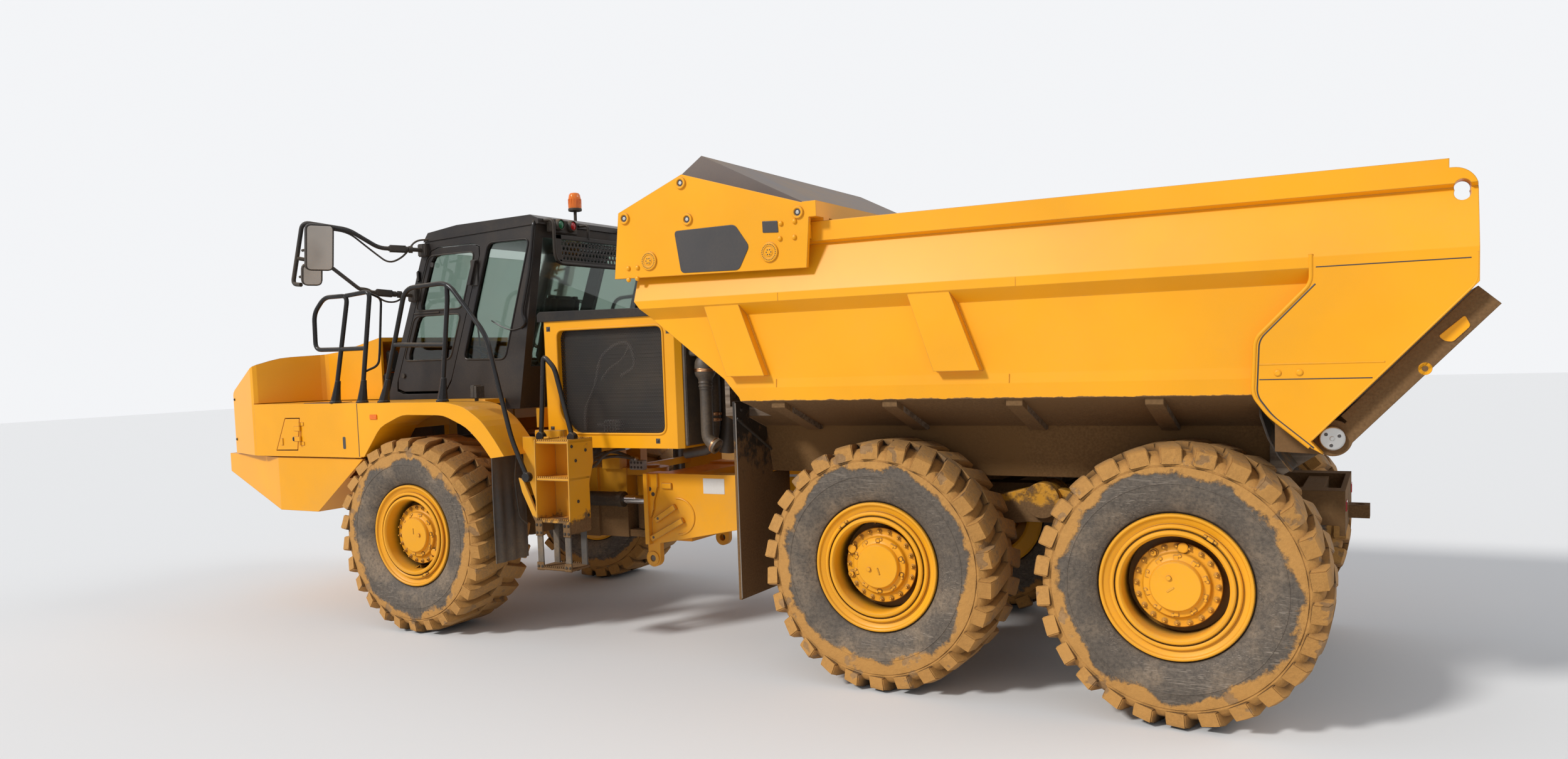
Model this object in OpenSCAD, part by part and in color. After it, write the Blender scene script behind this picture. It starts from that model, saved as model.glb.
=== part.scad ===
// Six-wheel articulated dump truck whose load is pushed out by an ejector blade.
// The truck faces +X, its left side is +Y, and it stands on the plane z = 0.
// The origin is on the ground under the middle of the truck.

/* [Wheels] */
// Overall diameter of a tyre over its lugs
tyre_d = 1600; // [1560:10:1640]
// Width of a tyre between its side walls
tyre_w = 600; // [560:10:610]
// Distance between the middles of a left and a right tyre
track = 2350; // [2330:10:2370]
// Outer diameter of the rim flange
rim_d = 836; // [800:4:860]
// Height of a tread lug over the carcass
lug_h = 40; // [30:1:44]
// Width of a tread lug around the tyre
lug_w = 112; // [90:2:130]
// Number of lugs in each of the two rows of a tyre
lug_count = 22; // [18:1:26]

/* [Axles and hitch] */
// Place of the front axle
front_x = 2360; // [2340:5:2380]
// Place of the centre axle
centre_x = -1780; // [-1800:5:-1760]
// Place of the rear axle
rear_x = -3600; // [-3620:5:-3580]
// Place of the vertical hitch pin
hitch_x = 960; // [950:5:970]
// Radius of the hitch pin
hitch_pin_r = 70; // [60:1:75]
// Radius of the shaft about which the rear frame swings from side to side
roll_shaft_r = 150; // [130:5:170]
// Height of that shaft
roll_shaft_z = 950; // [930:5:970]
// Radius of an axle housing
housing_r = 120; // [100:5:130]
// Radius of the spindle inside a wheel hub
spindle_r = 80; // [70:1:90]

/* [Frames] */
// Top of the rear frame rails
frame_top_z = 1257; // [1245:1:1265]
// Width of a walking beam
beam_w = 130; // [110:5:140]
// Space between a frame rail and the walking beam beside it
beam_gap = 90; // [80:5:100]
// Thickness of a rear frame rail
rail_w = 150; // [120:5:170]
// Underside of the rails over the axles
rail_under_z = 1050; // [1045:1:1075]
// Height of the walking beam pivots
pivot_z = 1180; // [1165:5:1190]
// Underside of the front frame rails
front_rail_z = 1020; // [1000:5:1040]
// Depth of the front frame rails
front_rail_h = 170; // [150:5:180]

/* [Dump body] */
// Rearmost edge of the body
body_rear_x = -5030; // [-5050:5:-5010]
// Front end of the load floor
body_front_x = -500; // [-520:5:-495]
// Top of the side rails
body_top_z = 3015; // [3000:5:3030]
// Depth of a side rail
side_rail_h = 125; // [110:5:140]
// Outer face of a side rail
side_rail_y = 1420; // [1410:5:1425]
// Outer face of the ridge along the body side
ridge_y = 1500; // [1490:5:1505]
// Top corner of the ridge
ridge_z = 2575; // [2560:5:2590]
// Outer face of the lower side wall
wall_y = 1425; // [1415:5:1430]
// Belt fold where the wall turns in under the body
belt_z = 1957; // [1940:1:1970]
// Underside of the load floor
floor_z = 1330; // [1320:5:1340]
// How far the walls beside the floor lean out
bench_lean = 75; // [60:5:90]
// Clearance of the body beside the tyres
tyre_gap = 10; // [5:1:15]
// Inner height of the benches over the tyres
bench_z = 1705; // [1700:1:1712]
// Thickness of the body's plates
skin = 40; // [30:1:45]
// Inner face of the side walls
inner_y = 1300; // [1290:2:1310]

/* [Ejector] */
// Full travel of the ejector
eject_travel = 3200; // [3000:20:3240]
// Clearance of the ejector blade inside the body
blade_gap = 12; // [8:1:20]
// Thickness of the blade
blade_t = 40; // [30:2:50]
// Outer face of a carriage plate
carriage_y = 1512; // [1508:1:1520]
// Radius of the ejector cylinder's barrel
eject_r = 130; // [120:5:135]
// Height of the ejector cylinder
eject_z = 2300; // [2290:5:2310]

/* [Cab] */
// Half of the cab's width
cab_y = 800; // [790:5:805]
// Thickness of the cab's walls
cab_wall = 50; // [40:2:55]
// Underside of the cab
cab_floor_z = 1800; // [1795:5:1805]
// Eaves of the cab at the front
cab_top_z = 3250; // [3230:5:3270]
// Thickness of the window glass
glass_t = 8; // [5:1:10]

/* [Tractor panels] */
// Height of the decks beside the hood
deck_z = 1890; // [1880:2:1900]
// Half of the width over the fenders
fender_y = 1440; // [1430:2:1445]
// Top of the front bumper
bumper_z = 1420; // [1410:2:1422]
// Front face of the bumper
nose_x = 5030; // [5010:5:5050]
// Plate thickness of hood and bumper
panel_t = 30; // [20:2:35]
// Radius of the handrail tube
rail_tube_r = 19; // [15:1:22]

/* [Hidden] */

$fn = 48;
// Clearance of a pin or shaft in its bore, and of one panel from the next
pin_gap = 0.5;
seat_gap = 0.3;
move_gap = 6;
axle_z = tyre_d / 2;
front_rail_top = front_rail_z + front_rail_h;
bolt_r = 22;

yellow = [0.98, 0.68, 0.05];
black = [0.09, 0.09, 0.09];
steel = [0.75, 0.75, 0.76];
rubber = [0.22, 0.2, 0.18];
grey = [0.45, 0.44, 0.43];
dark_glass = [0.3, 0.36, 0.36, 0.5];

// Plate with an outline in x and z, from y0 to y1
module side_plate(outline, y0, y1) {
    translate([0, y1, 0])
        rotate([90, 0, 0])
            linear_extrude(y1 - y0)
                polygon(outline);
}

// Bar with a section in y and z, from x0 to x1
module long_bar(section, x0, x1) {
    translate([x0, 0, 0])
        rotate([90, 0, 90])
            linear_extrude(x1 - x0)
                polygon(section);
}

// Block given by its lowest and highest corners
module block(low, high) {
    translate(low)
        cube(high - low);
}

module both_sides() {
    children();
    mirror([0, 1, 0])
        children();
}

// Cylinders along y, along x and along z
module pin_y(x, z, y0, y1, r) {
    translate([x, y0, z])
        rotate([-90, 0, 0])
            cylinder(h = y1 - y0, r = r);
}

module pin_x(y, z, x0, x1, r) {
    translate([x0, y, z])
        rotate([0, 90, 0])
            cylinder(h = x1 - x0, r = r);
}

module pin_z(x, y, z0, z1, r) {
    translate([x, y, z0])
        cylinder(h = z1 - z0, r = r);
}

function unit(v) = v / norm(v);
// The same points on the other side of the middle plane, in reverse
function across(half) = [for (i = [len(half) - 1 : -1 : 0]) if (half[i][1] != 0) [half[i][0], -half[i][1]]];
function between(a, b, share) = a + (b - a) * share;

// Route whose inner corners are cut by short curves of the given length
function rounded(route, bend) = [
    for (i = [0 : len(route) - 1])
        if (i == 0 || i == len(route) - 1) route[i]
        else
            let (
                p = route[i],
                a = p + unit(route[i - 1] - p) * bend,
                b = p + unit(route[i + 1] - p) * bend
            )
            each [a, (a + 2 * p + b) / 4, b]
];

// Closed outline whose corners are cut in the same way
function round_corners(outline, bend) =
    let (n = len(outline))
    [
        for (i = [0 : n - 1])
            let (
                p = outline[i],
                a = p + unit(outline[(i + n - 1) % n] - p) * bend,
                b = p + unit(outline[(i + 1) % n] - p) * bend
            )
            each [a, (a + 2 * p + b) / 4, b]
    ];

// Round tube swept along a route, with eight sides
module tube(route, r, up = [0, 1, 0], sides = 8) {
    last = len(route) - 1;
    ahead = [for (i = [0 : last - 1]) unit(route[i + 1] - route[i])];
    along = [
        for (i = [0 : last])
            i == 0 ? ahead[0] : i == last ? ahead[last - 1] : unit(ahead[i - 1] + ahead[i])
    ];
    rings = [
        for (i = [0 : last])
            let (side = unit(cross(up, along[i])), top = cross(along[i], side))
            for (k = [0 : sides - 1])
                route[i] + r * (side * cos(360 * k / sides) + top * sin(360 * k / sides))
    ];
    walls = [
        for (i = [0 : last - 1], k = [0 : sides - 1])
            let (n = (k + 1) % sides)
            [i * sides + k, (i + 1) * sides + k, (i + 1) * sides + n, i * sides + n]
    ];
    start_cap = [for (k = [0 : sides - 1]) k];
    end_cap = [for (k = [sides - 1 : -1 : 0]) last * sides + k];
    polyhedron(rings, concat(walls, [start_cap, end_cap]));
}

// Wheels

carcass_r = tyre_d / 2 - lug_h;
half_w = tyre_w / 2;
rim_r = rim_d / 2;
bead_r = 330;
bead_a = half_w - 70;
tyre_wall = 38;
lug_root = 30;

module tyre_solid() {
    // columns: radius, distance from the tyre's middle plane
    outside = [
        [bead_r, bead_a], [rim_r, bead_a], [rim_r + 26, half_w - 38],
        [rim_r + 100, half_w - 5], [carcass_r - 170, half_w],
        [carcass_r - 75, half_w - 8], [carcass_r - 18, half_w - 45],
        [carcass_r, half_w - 130]
    ];
    inside = [
        [carcass_r - tyre_wall, half_w - 150], [carcass_r - 100, half_w - 70],
        [carcass_r - 170, half_w - tyre_wall], [rim_r + 60, half_w - 60],
        [bead_r, half_w - 130]
    ];
    section = concat(
        outside,
        [for (i = [len(outside) - 1 : -1 : 0]) [outside[i][0], -outside[i][1]]],
        [for (i = [len(inside) - 1 : -1 : 0]) [inside[i][0], -inside[i][1]]],
        inside
    );
    pitch = 360 / lug_count;
    rotate_extrude()
        polygon(section);
    intersection() {
        cylinder(h = tyre_w + 40, r = tyre_d / 2, center = true, $fn = 96);
        for (side = [-1, 1], i = [0 : lug_count - 1])
            rotate([0, 0, (i + (side + 1) / 4) * pitch])
                tread_lug(side);
    }
}

// One lug: it runs from near the middle of the tread down over the shoulder
module tread_lug(side) {
    tip_r = tyre_d / 2 + 10;
    root_r = carcass_r - lug_root;
    lug = [
        [root_r, -35], [tip_r, -35], [tip_r, half_w - 72],
        [tip_r - 34, half_w - 10], [carcass_r - 62, half_w + 3], [carcass_r - 62, half_w - 40],
        [root_r, half_w - 90]
    ];
    slant = 16;
    translate([0, 0, side * half_w])
        rotate([side * slant, 0, 0])
            translate([0, 0, -side * half_w])
                rotate([90, 0, 0])
                    linear_extrude(lug_w, center = true)
                        polygon([for (p = lug) [p[0], side * p[1]]]);
}

hub_back = -160;
hub_bore_end = 40;
hub_face = 228;
disc_a = 85;
disc_t = 30;

module rim_solid() {
    bed_r = bead_r - 42;
    dish_r = 150;
    // lip, gutter, lock ring, groove, inner ring, then the well and the disc
    shell = [
        [bead_r, bead_a], [rim_r, bead_a], [rim_r, bead_a + 22], [rim_r - 10, bead_a + 32],
        [rim_r - 20, bead_a + 30], [rim_r - 28, bead_a + 12], [rim_r - 60, bead_a + 4],
        [rim_r - 63, bead_a + 22], [rim_r - 72, bead_a + 28], [rim_r - 84, bead_a + 24],
        [rim_r - 88, bead_a + 10], [bead_r - 6, bead_a + 10], [bead_r - 10, bead_a + 30],
        [bead_r - 28, bead_a + 36], [bed_r, bead_a + 14],
        [bed_r, disc_a], [dish_r, disc_a], [dish_r, disc_a - disc_t],
        [bed_r, disc_a - disc_t], [bed_r, -bead_a - 8], [bed_r + 20, -bead_a - 26],
        [rim_r - 18, -bead_a - 32], [rim_r, -bead_a - 22], [rim_r, -bead_a], [bead_r, -bead_a]
    ];
    hub = [
        [spindle_r + pin_gap, hub_back], [185, hub_back], [185, -50], [dish_r, -40],
        [dish_r, disc_a], [245, disc_a], [245, disc_a + 25], [196, disc_a + 28],
        [184, hub_face - 40], [150, hub_face - 26], [140, hub_face], [0, hub_face],
        [0, hub_bore_end], [spindle_r + pin_gap, hub_bore_end]
    ];
    rotate_extrude()
        polygon(shell);
    rotate_extrude()
        polygon(hub);
    lobes = 6;
    for (i = [0 : lobes - 1])
        rotate([0, 0, i * 360 / lobes])
            translate([84, 0, hub_face])
                cylinder(h = 14, r = bolt_r, $fn = 24);
}

module wheel_place(x, side) {
    translate([x, side * track / 2, axle_z])
        rotate([-90 * side, 0, 0])
            children();
}

module tyre(x, side) {
    color(rubber)
        wheel_place(x, side)
            tyre_solid();
}

module rim(x, side) {
    color(yellow)
        wheel_place(x, side)
            rim_solid();
}

// Axles

hub_inner_y = track / 2 + hub_back;
spindle_end_y = track / 2 + hub_bore_end - pin_gap;
tyre_inner_y = (track - tyre_w) / 2;
beam_y1 = tyre_inner_y - 105;
beam_y0 = beam_y1 - beam_w;
rail_y = beam_y0 - beam_gap;
beam_seat_z = axle_z + 150;

module axle_solid(x, nose) {
    spindle_end = spindle_end_y;
    pin_y(x, axle_z, -hub_inner_y + 60, hub_inner_y - 60, housing_r);
    pin_y(x, axle_z, -spindle_end, spindle_end, spindle_r);
    both_sides()
        pin_y(x, axle_z, hub_inner_y - 70, hub_inner_y - move_gap, 180);
    translate([x, 0, axle_z])
        sphere(r = 215);
    pin_x(0, axle_z, min(x, x + nose), max(x, x + nose), 95);
}

module front_axle() {
    strut_y = 520;
    color(yellow) {
        axle_solid(front_x, -380);
        both_sides() {
            block([front_x - 90, strut_y - 60, axle_z + 60], [front_x + 90, strut_y + 60, axle_z + 150]);
            pin_z(front_x, strut_y, axle_z + 140, front_rail_top, 45);
        }
        // A-frame that leads the axle
        both_sides()
            side_plate(
                [[front_x + 60, axle_z - 60], [front_x + 60, axle_z + 60],
                 [front_x + 900, axle_z + 170], [front_x + 900, axle_z + 90]],
                180, 240);
    }
}

module bogie_axle(x, nose) {
    color(yellow) {
        axle_solid(x, nose);
        both_sides()
            block([x - 110, beam_y0, axle_z + 60], [x + 110, beam_y1, beam_seat_z]);
    }
}

module centre_axle() {
    bogie_axle(centre_x, 380);
}

module rear_axle() {
    bogie_axle(rear_x, 380);
}

pivot_x = (centre_x + rear_x) / 2;

module walking_beams() {
    seat = 110;
    boss_r = 115;
    color(yellow)
        both_sides() {
            side_plate(
                [[rear_x - seat, beam_seat_z], [rear_x - seat, beam_seat_z + 60],
                 [pivot_x - boss_r, pivot_z + 70], [pivot_x + boss_r, pivot_z + 70],
                 [centre_x + seat, beam_seat_z + 60], [centre_x + seat, beam_seat_z],
                 [centre_x - seat - 150, beam_seat_z], [pivot_x + boss_r, pivot_z - 150],
                 [pivot_x - boss_r, pivot_z - 150], [rear_x + seat + 150, beam_seat_z]],
                beam_y0, beam_y1);
            pin_y(pivot_x, pivot_z, rail_y, beam_y1 + 60, boss_r);
        }
}

// Rear frame and hitch

head_x = 620;
head_x0 = 300;
lug_plate_x = head_x - 50;
ear_r = 70;
ear_z = 565;
ear_x = 580;
tie_x = -4330;

module rail_outline_plate() {
    side_plate(
        [[head_x, frame_top_z], [head_x, 683], [540, 683], [-240, 833], [-1000, rail_under_z],
         [tie_x - 60, rail_under_z], [tie_x - 60, frame_top_z]],
        rail_y - rail_w, rail_y);
}

module rear_frame() {
    bore_r = roll_shaft_r + pin_gap;
    tow_bore_r = 30;
    color(yellow)
        difference() {
            union() {
                both_sides() {
                    rail_outline_plate();
                    // head flange and tie-down ear
                    block([head_x - 40, rail_y - 20, 683], [head_x, rail_y + 50, frame_top_z]);
                    pin_y(ear_x, ear_z, rail_y - 50, rail_y, ear_r);
                    block([ear_x - ear_r, rail_y - 50, ear_z], [ear_x + ear_r - 20, rail_y, 700]);
                }
                block([head_x0, -rail_y + rail_w, 690], [head_x, rail_y - rail_w, frame_top_z - 20]);
                for (x = [-760, -1500, -2300, -3100, -4230])
                    block([x - 60, -rail_y + rail_w, rail_under_z + 20],
                          [x + 60, rail_y - rail_w, frame_top_z - 20]);
                pin_y(pivot_x, pivot_z - 20, -rail_y + rail_w, rail_y - rail_w, 70);
                // rear cross plate with the tow bore
                block([tie_x - 90, -rail_y, rail_under_z - 60], [tie_x - 60, rail_y, frame_top_z]);
                block([tie_x - 210, -70, rail_under_z - 20], [tie_x - 90, 70, rail_under_z + 60]);
            }
            pin_x(0, roll_shaft_z, head_x0 - 1, head_x + 1, bore_r);
            both_sides()
                pin_y(ear_x, ear_z, rail_y - 51, rail_y + 1, 30);
            pin_z(tie_x - 150, 0, rail_under_z - 21, rail_under_z + 61, tow_bore_r);
        }
}

hood_pin = [4862, 1450];
hood_pin_r = 9;
hood_arm_y = [200, 274];
hood_arm_t = 26;
hood_ear_y = [232, 268];
hitch_z0 = 720;
hitch_z1 = 1180;
steer_z = 1000;
steer_base_x = 1600;
steer_base_y = 340;
steer_eye_x = 745;
steer_eye_y = 300;
eye_h = 70;
eye_r = 48;

module hitch_casting() {
    boss_r = 130;
    color(yellow) {
        difference() {
            union() {
                pin_z(hitch_x, 0, hitch_z0, hitch_z1, boss_r);
                block([head_x + move_gap + 30, -110, hitch_z0 + 60], [hitch_x, 110, hitch_z1 - 60]);
                pin_x(0, roll_shaft_z, head_x + move_gap, head_x + 70, roll_shaft_r + 70);
                // arms for the steering rods, under their eyes
                both_sides() {
                    pin_z(steer_eye_x, steer_eye_y, steer_z - arm_drop - 35, steer_z - arm_drop, 45);
                    block([steer_eye_x - 40, 60, steer_z - arm_drop - 35],
                          [steer_eye_x + 40, steer_eye_y, steer_z - arm_drop]);
                }
            }
            pin_z(hitch_x, 0, hitch_z0 - 1, hitch_z1 + 1, hitch_pin_r + pin_gap);
        }
        pin_x(0, roll_shaft_z, head_x0 - 60, head_x + 60, roll_shaft_r);
        pin_x(0, roll_shaft_z, head_x0 - 60, head_x0 - move_gap, roll_shaft_r + 40);
    }
}

module tractor_frame() {
    box_x0 = 1110;
    box_x1 = 1780;
    color(yellow) {
        both_sides() {
            side_plate(
                [[box_x1 - 60, front_rail_z], [4080, front_rail_z], [4560, front_rail_z + 145],
                 [4560, front_rail_top], [box_x1 - 60, front_rail_top]],
                330, 430);
            // seats of the suspension struts
            block([front_x - 80, 330, front_rail_top], [front_x + 80, 600, front_rail_top + 50]);
            // arms that carry the hood's hinge pin
            for (y = hood_arm_y) {
                side_plate([[4500, front_rail_top - 1], [4558, front_rail_top - 1], [4876, 1436],
                            [4850, 1466], [4500, 1240]], y, y + hood_arm_t);
                pin_y(hood_pin[0], hood_pin[1], y, y + hood_arm_t, 20);
            }
            pin_y(hood_pin[0], hood_pin[1], hood_arm_y[0], hood_arm_y[1] + hood_arm_t, hood_pin_r);
            // brackets of the steering barrels
            for (z = [steer_z - eye_h / 2 - move_gap - 25, steer_z + eye_h / 2 + move_gap])
                block([steer_base_x - 50, 190, z], [steer_base_x + 55, steer_base_y + 50, z + 25]);
            pin_z(steer_base_x, steer_base_y, steer_z - eye_h, steer_z + eye_h, 30);
        }
        block([box_x0, -165, 650], [1400, 165, 1250]);
        block([1400, -200, 650], [box_x1, 200, 1250]);
        for (x = [2700, 3300, 3950])
            block([x - 50, -330, front_rail_z + 20], [x + 50, 330, front_rail_top]);
        block([4500, -330, front_rail_z + 145], [4560, 330, front_rail_top]);
        block([box_x1 - 60, -330, front_rail_z], [box_x1 + 40, 330, front_rail_z + front_rail_h]);
        // ears over and under the hitch casting, and the pin
        for (z = [[hitch_z0 - move_gap - 60, hitch_z0 - move_gap], [hitch_z1 + move_gap, 1246]]) {
            pin_z(hitch_x, 0, z[0], z[1], 150);
            block([hitch_x, -150, z[0]], [box_x0 + 1, 150, z[1]]);
        }
        pin_z(hitch_x, 0, 640, 1262, hitch_pin_r);
        // posts that carry the cooler cowl
        for (y = [-200, 100])
            block([1150, y, 1240], [1340, y + 100, cowl_z0]);
        // cross plate under the cab and outriggers under the decks
        block([1500, -760, 1640], [1560, 760, cab_floor_z]);
        block([2900, -760, 1640], [2960, 760, cab_floor_z]);
        both_sides() {
            block([1500, 330, front_rail_z + 100], [1560, 430, 1700]);
            block([2900, 330, front_rail_z + 100], [2960, 430, 1700]);
            block([1700, 330, front_rail_z], [1800, 430, 1250]);
            block([1500, 330, 1150], [1780, 430, 1250]);
        }
    }
}

// Steering cylinders

steer_len = norm([steer_base_x - steer_eye_x, steer_base_y - steer_eye_y]);
steer_turn = atan2(steer_base_y - steer_eye_y, steer_base_x - steer_eye_x);
steer_bore_len = 570;
steer_bore_floor = 80;
rod_len = 536;
arm_drop = 72;

module steer_place(side) {
    translate([steer_base_x, side * steer_base_y, steer_z])
        rotate([0, 0, 180 + side * steer_turn])
            children();
}

module steer_barrel(side) {
    color(black)
        steer_place(side)
            difference() {
                union() {
                    translate([0, 0, -eye_h / 2])
                        cylinder(h = eye_h, r = 60);
                    rotate([0, 90, 0])
                        translate([0, 0, 35])
                            cylinder(h = 50, r = 34);
                    rotate([0, 90, 0])
                        translate([0, 0, 75])
                            cylinder(h = steer_bore_len - 75, r = 62);
                    rotate([0, 90, 0])
                        translate([0, 0, steer_bore_len - 50])
                            cylinder(h = 50, r = 66);
                }
                translate([0, 0, -eye_h])
                    cylinder(h = 2 * eye_h, r = 30 + pin_gap);
                rotate([0, 90, 0])
                    translate([0, 0, steer_bore_floor])
                        cylinder(h = steer_bore_len, r = 36 + pin_gap);
            }
}

module steer_rod(side) {
    color(steel)
        steer_place(side) {
            translate([steer_len, 0, 4 - arm_drop])
                cylinder(h = arm_drop - 4 + eye_h / 2, r = eye_r);
            rotate([0, 90, 0])
                translate([0, 0, steer_len - rod_len])
                    cylinder(h = rod_len - 20, r = 36);
        }
}

// Front panels

// Plan of the bumper and its side outline
module bumper_form(t) {
    intersection() {
        side_plate(
            [[2910 - t, bumper_z + 2 * t], [nose_x - t, bumper_z + 2 * t], [nose_x - t, 1250 + t * 0.5],
             [4000 - t * 0.3, 950 + t], [3510 + t * 0.5, 950 + t]],
            -1400 + t, 1400 - t);
        translate([0, 0, 900])
            linear_extrude(700)
                polygon([[2800, -1400 + t], [4000, -1400 + t], [nose_x - t, -1150 + t],
                         [nose_x - t, 1150 - t], [4000, 1400 - t], [2800, 1400 - t]]);
    }
}

module bumper() {
    color(yellow)
        difference() {
            bumper_form(0);
            bumper_form(panel_t);
            block([2800, -1400 + panel_t, 1250], [3300, 1400 - panel_t, 1600]);
            // room for the frame rails and the engine
            block([2800, -450, 900], [3560, 450, 1600]);
        }
    color(yellow)
        both_sides()
            block([3960, 430, front_rail_z + 20], [4060, 1400 - panel_t, front_rail_z + 90]);
}

hood_z0 = bumper_z + 10;
hood_back_x = 3290;
split_x = 4270;
hood_front_x = 4880;

module hood_form(t) {
    bend = 45;
    outline = concat(
        [[hood_back_x - t, hood_z0 - t], [hood_front_x - t, hood_z0 - t]],
        rounded([[hood_front_x - t, 1700], [hood_front_x - t, 1860], [4830 - t, 2000 - t * 0.4],
                 [split_x, 2230 - t], [4160, 2300 - t], [3770, 2340 - t], [hood_back_x - t, 2450 - t]],
                bend)
    );
    nose_y = 1200 - t;
    wide_y = 1420 - t;
    nose_half = [[hood_front_x, 0], [hood_front_x, nose_y], [split_x + t, wide_y]];
    upper_half = rounded(concat(nose_half, [[3980, 860 - t], [hood_back_x - 2 * t, 820 - t]]), bend);
    lower_half = rounded(concat(nose_half, [[split_x + t, 0]]), bend);
    upper = concat(upper_half, across(upper_half));
    lower = concat(lower_half, across(lower_half));
    intersection() {
        side_plate(outline, -1500, 1500);
        union() {
            translate([0, 0, deck_z + move_gap + t])
                linear_extrude(900)
                    polygon(upper);
            translate([0, 0, 1300])
                linear_extrude(deck_z - 1200 + t)
                    polygon(lower);
        }
    }
}

module hood() {
    color(yellow)
        difference() {
            hood_form(0);
            hood_form(panel_t);
            block([hood_back_x - 10, -780, 1300], [split_x + panel_t + 1, 780, deck_z + 40]);
            // notches round the hinge arms
            both_sides()
                block([hood_pin[0] - 40, hood_arm_y[0] - move_gap, 1400],
                      [hood_pin[0] + 40, hood_arm_y[1] + hood_arm_t + move_gap, hood_pin[1] + 30]);
        }
    // hinge ears
    color(yellow)
        both_sides()
            difference() {
                union() {
                    pin_y(hood_pin[0], hood_pin[1], hood_ear_y[0], hood_ear_y[1], 17);
                    block([hood_pin[0] - 10, hood_ear_y[0], hood_pin[1]],
                          [hood_pin[0] + 16, hood_ear_y[1], hood_pin[1] + 60]);
                }
                pin_y(hood_pin[0], hood_pin[1], hood_ear_y[0] - 1, hood_ear_y[1] + 1, hood_pin_r + pin_gap);
            }
}

hatch_outline = [[3665, 1760], [3848, 1759], [3979, 1487], [3710, 1491]];

hatch_pin = [3655, 1430];
hatch_pin_r = 5;
hatch_knuckle_r = 10;

module side_panels() {
    section = [
        [1420, hood_z0], [1420, deck_z], [860, deck_z], [860, deck_z - 30],
        [1390, deck_z - 30], [1390, hood_z0]
    ];
    hatch_hole = [[3654, 1768], [3853, 1767], [3991, 1479], [3701, 1483]];
    color(yellow)
        difference() {
            both_sides()
                long_bar(section, 2910, split_x - move_gap);
            side_plate(hatch_hole, 1350, 1450);
        }
    // hinge halves of the hatch
    color(black) {
        for (z = [1530, 1700]) {
            pin_z(hatch_pin[0], hatch_pin[1], z, z + 30, hatch_knuckle_r);
            block([hatch_pin[0] - 45, 1420, z], [hatch_pin[0], 1426, z + 30]);
        }
        pin_z(hatch_pin[0], hatch_pin[1], 1530, 1730, hatch_pin_r);
    }
    // brackets from the frame to the panels
    color(black)
        both_sides()
            block([3400, 330, hood_z0], [3460, 1390, hood_z0 + 50]);
    color(black)
        both_sides()
            block([3400, 330, front_rail_top], [3460, 400, hood_z0 + 1]);
}

module side_hatch() {
    color(yellow)
        side_plate(hatch_outline, 1392, 1420);
    color(black)
        for (z = [1565, 1655])
            difference() {
                union() {
                    pin_z(hatch_pin[0], hatch_pin[1], z, z + 40, hatch_knuckle_r);
                    block([hatch_pin[0], 1420, z], [hatch_pin[0] + 80, 1426, z + 40]);
                }
                pin_z(hatch_pin[0], hatch_pin[1], z - 1, z + 41, hatch_pin_r + pin_gap);
            }
    color(black)
        block([3890, 1420, 1530], [3915, 1428, 1590]);
}

module fenders() {
    bend = 60;
    arch = concat(
        [[2900, 1440]],
        rounded([[2900, deck_z], [1900, deck_z], [1700, 1852], [1520, 1742], [1390, 1592], [1300, 1467]], bend),
        rounded([[1440, 1450], [1535, 1565], [1680, 1690], [1920, 1785], [2380, 1790], [2640, 1690],
                 [2850, 1440]], bend)
    );
    color(yellow)
        both_sides() {
            side_plate(arch, 1040, fender_y);
            block([1850, 800 + move_gap, deck_z - 40], [2900, 1041, deck_z]);
            block([2890, 430, 1640], [2900, 1041, cab_floor_z - move_gap]);
        }
}

module steps() {
    step_x0 = 720;
    step_x1 = 1060;
    // columns: height of a tread, its inner edge, its outer edge
    treads = [[600, 1180, 1400], [960, 1160, 1390], [1280, 1140, 1380], [1560, 1090, 1370]];
    color(yellow) {
        for (row = treads)
            block([step_x0, row[1], row[0]], [step_x1, row[2], row[0] + 30]);
        side_step_plate(step_x0, 1090);
        side_step_plate(step_x1 - 20, 1000);
        block([step_x1 - 20, 1000, 1250], [1340, 1040, 1640]);
    }
    color(black)
        for (x = [step_x0 + 20, step_x1 - 60])
            block([x, 1250, 500 + 100], [x + 40, 1290, 970]);
}

module side_step_plate(x, inner) {
    long_bar([[1150, 960], [1390, 960], [1380, 1590], [inner, 1590], [inner, 1400], [1150, 1250]], x, x + 20);
}

module side_tank() {
    tank_x0 = 870;
    tank_x1 = 1290;
    color(yellow)
        long_bar([[-1380, 900], [-1380, 1480], [-1340, 1520], [-1040, 1520], [-1000, 1480],
                  [-1000, 900], [-1060, 840], [-1320, 840]], tank_x0, tank_x1);
    color(yellow)
        block([1230, -1001, 1180], [1280, -200, 1240]);
}

module engine() {
    color(grey) {
        block([3300, -240, front_rail_top], [4400, 240, 1800]);
        block([1900, -200, front_rail_top], [3300, 200, 1500]);
    }
}

// Cab. The windscreen leans back and the rear wall leans in the same way.

cab_front_low = [3230, 1950];
cab_front_top = [2690, cab_top_z];
cab_rear_low = [1700, cab_floor_z];
cab_rear_top = [1425, cab_top_z + 50];
door_low_z = 1960;
door_top_z = 3190;
door_pillar = 78;
door_gap = 8;
sill_gap = 22;
door_rear_low = [2500, door_low_z];
door_rear_top = [2030, door_top_z];
door_frame = 58;
pane_low_z = 2230;
pane_bar_z = 2640;
pane_top_z = 3130;

function cab_front_x(z) = between(cab_front_low, cab_front_top,
    (z - cab_front_low[1]) / (cab_front_top[1] - cab_front_low[1]))[0];
function cab_rear_x(z) = between(cab_rear_low, cab_rear_top,
    (z - cab_rear_low[1]) / (cab_rear_top[1] - cab_rear_low[1]))[0];

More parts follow.
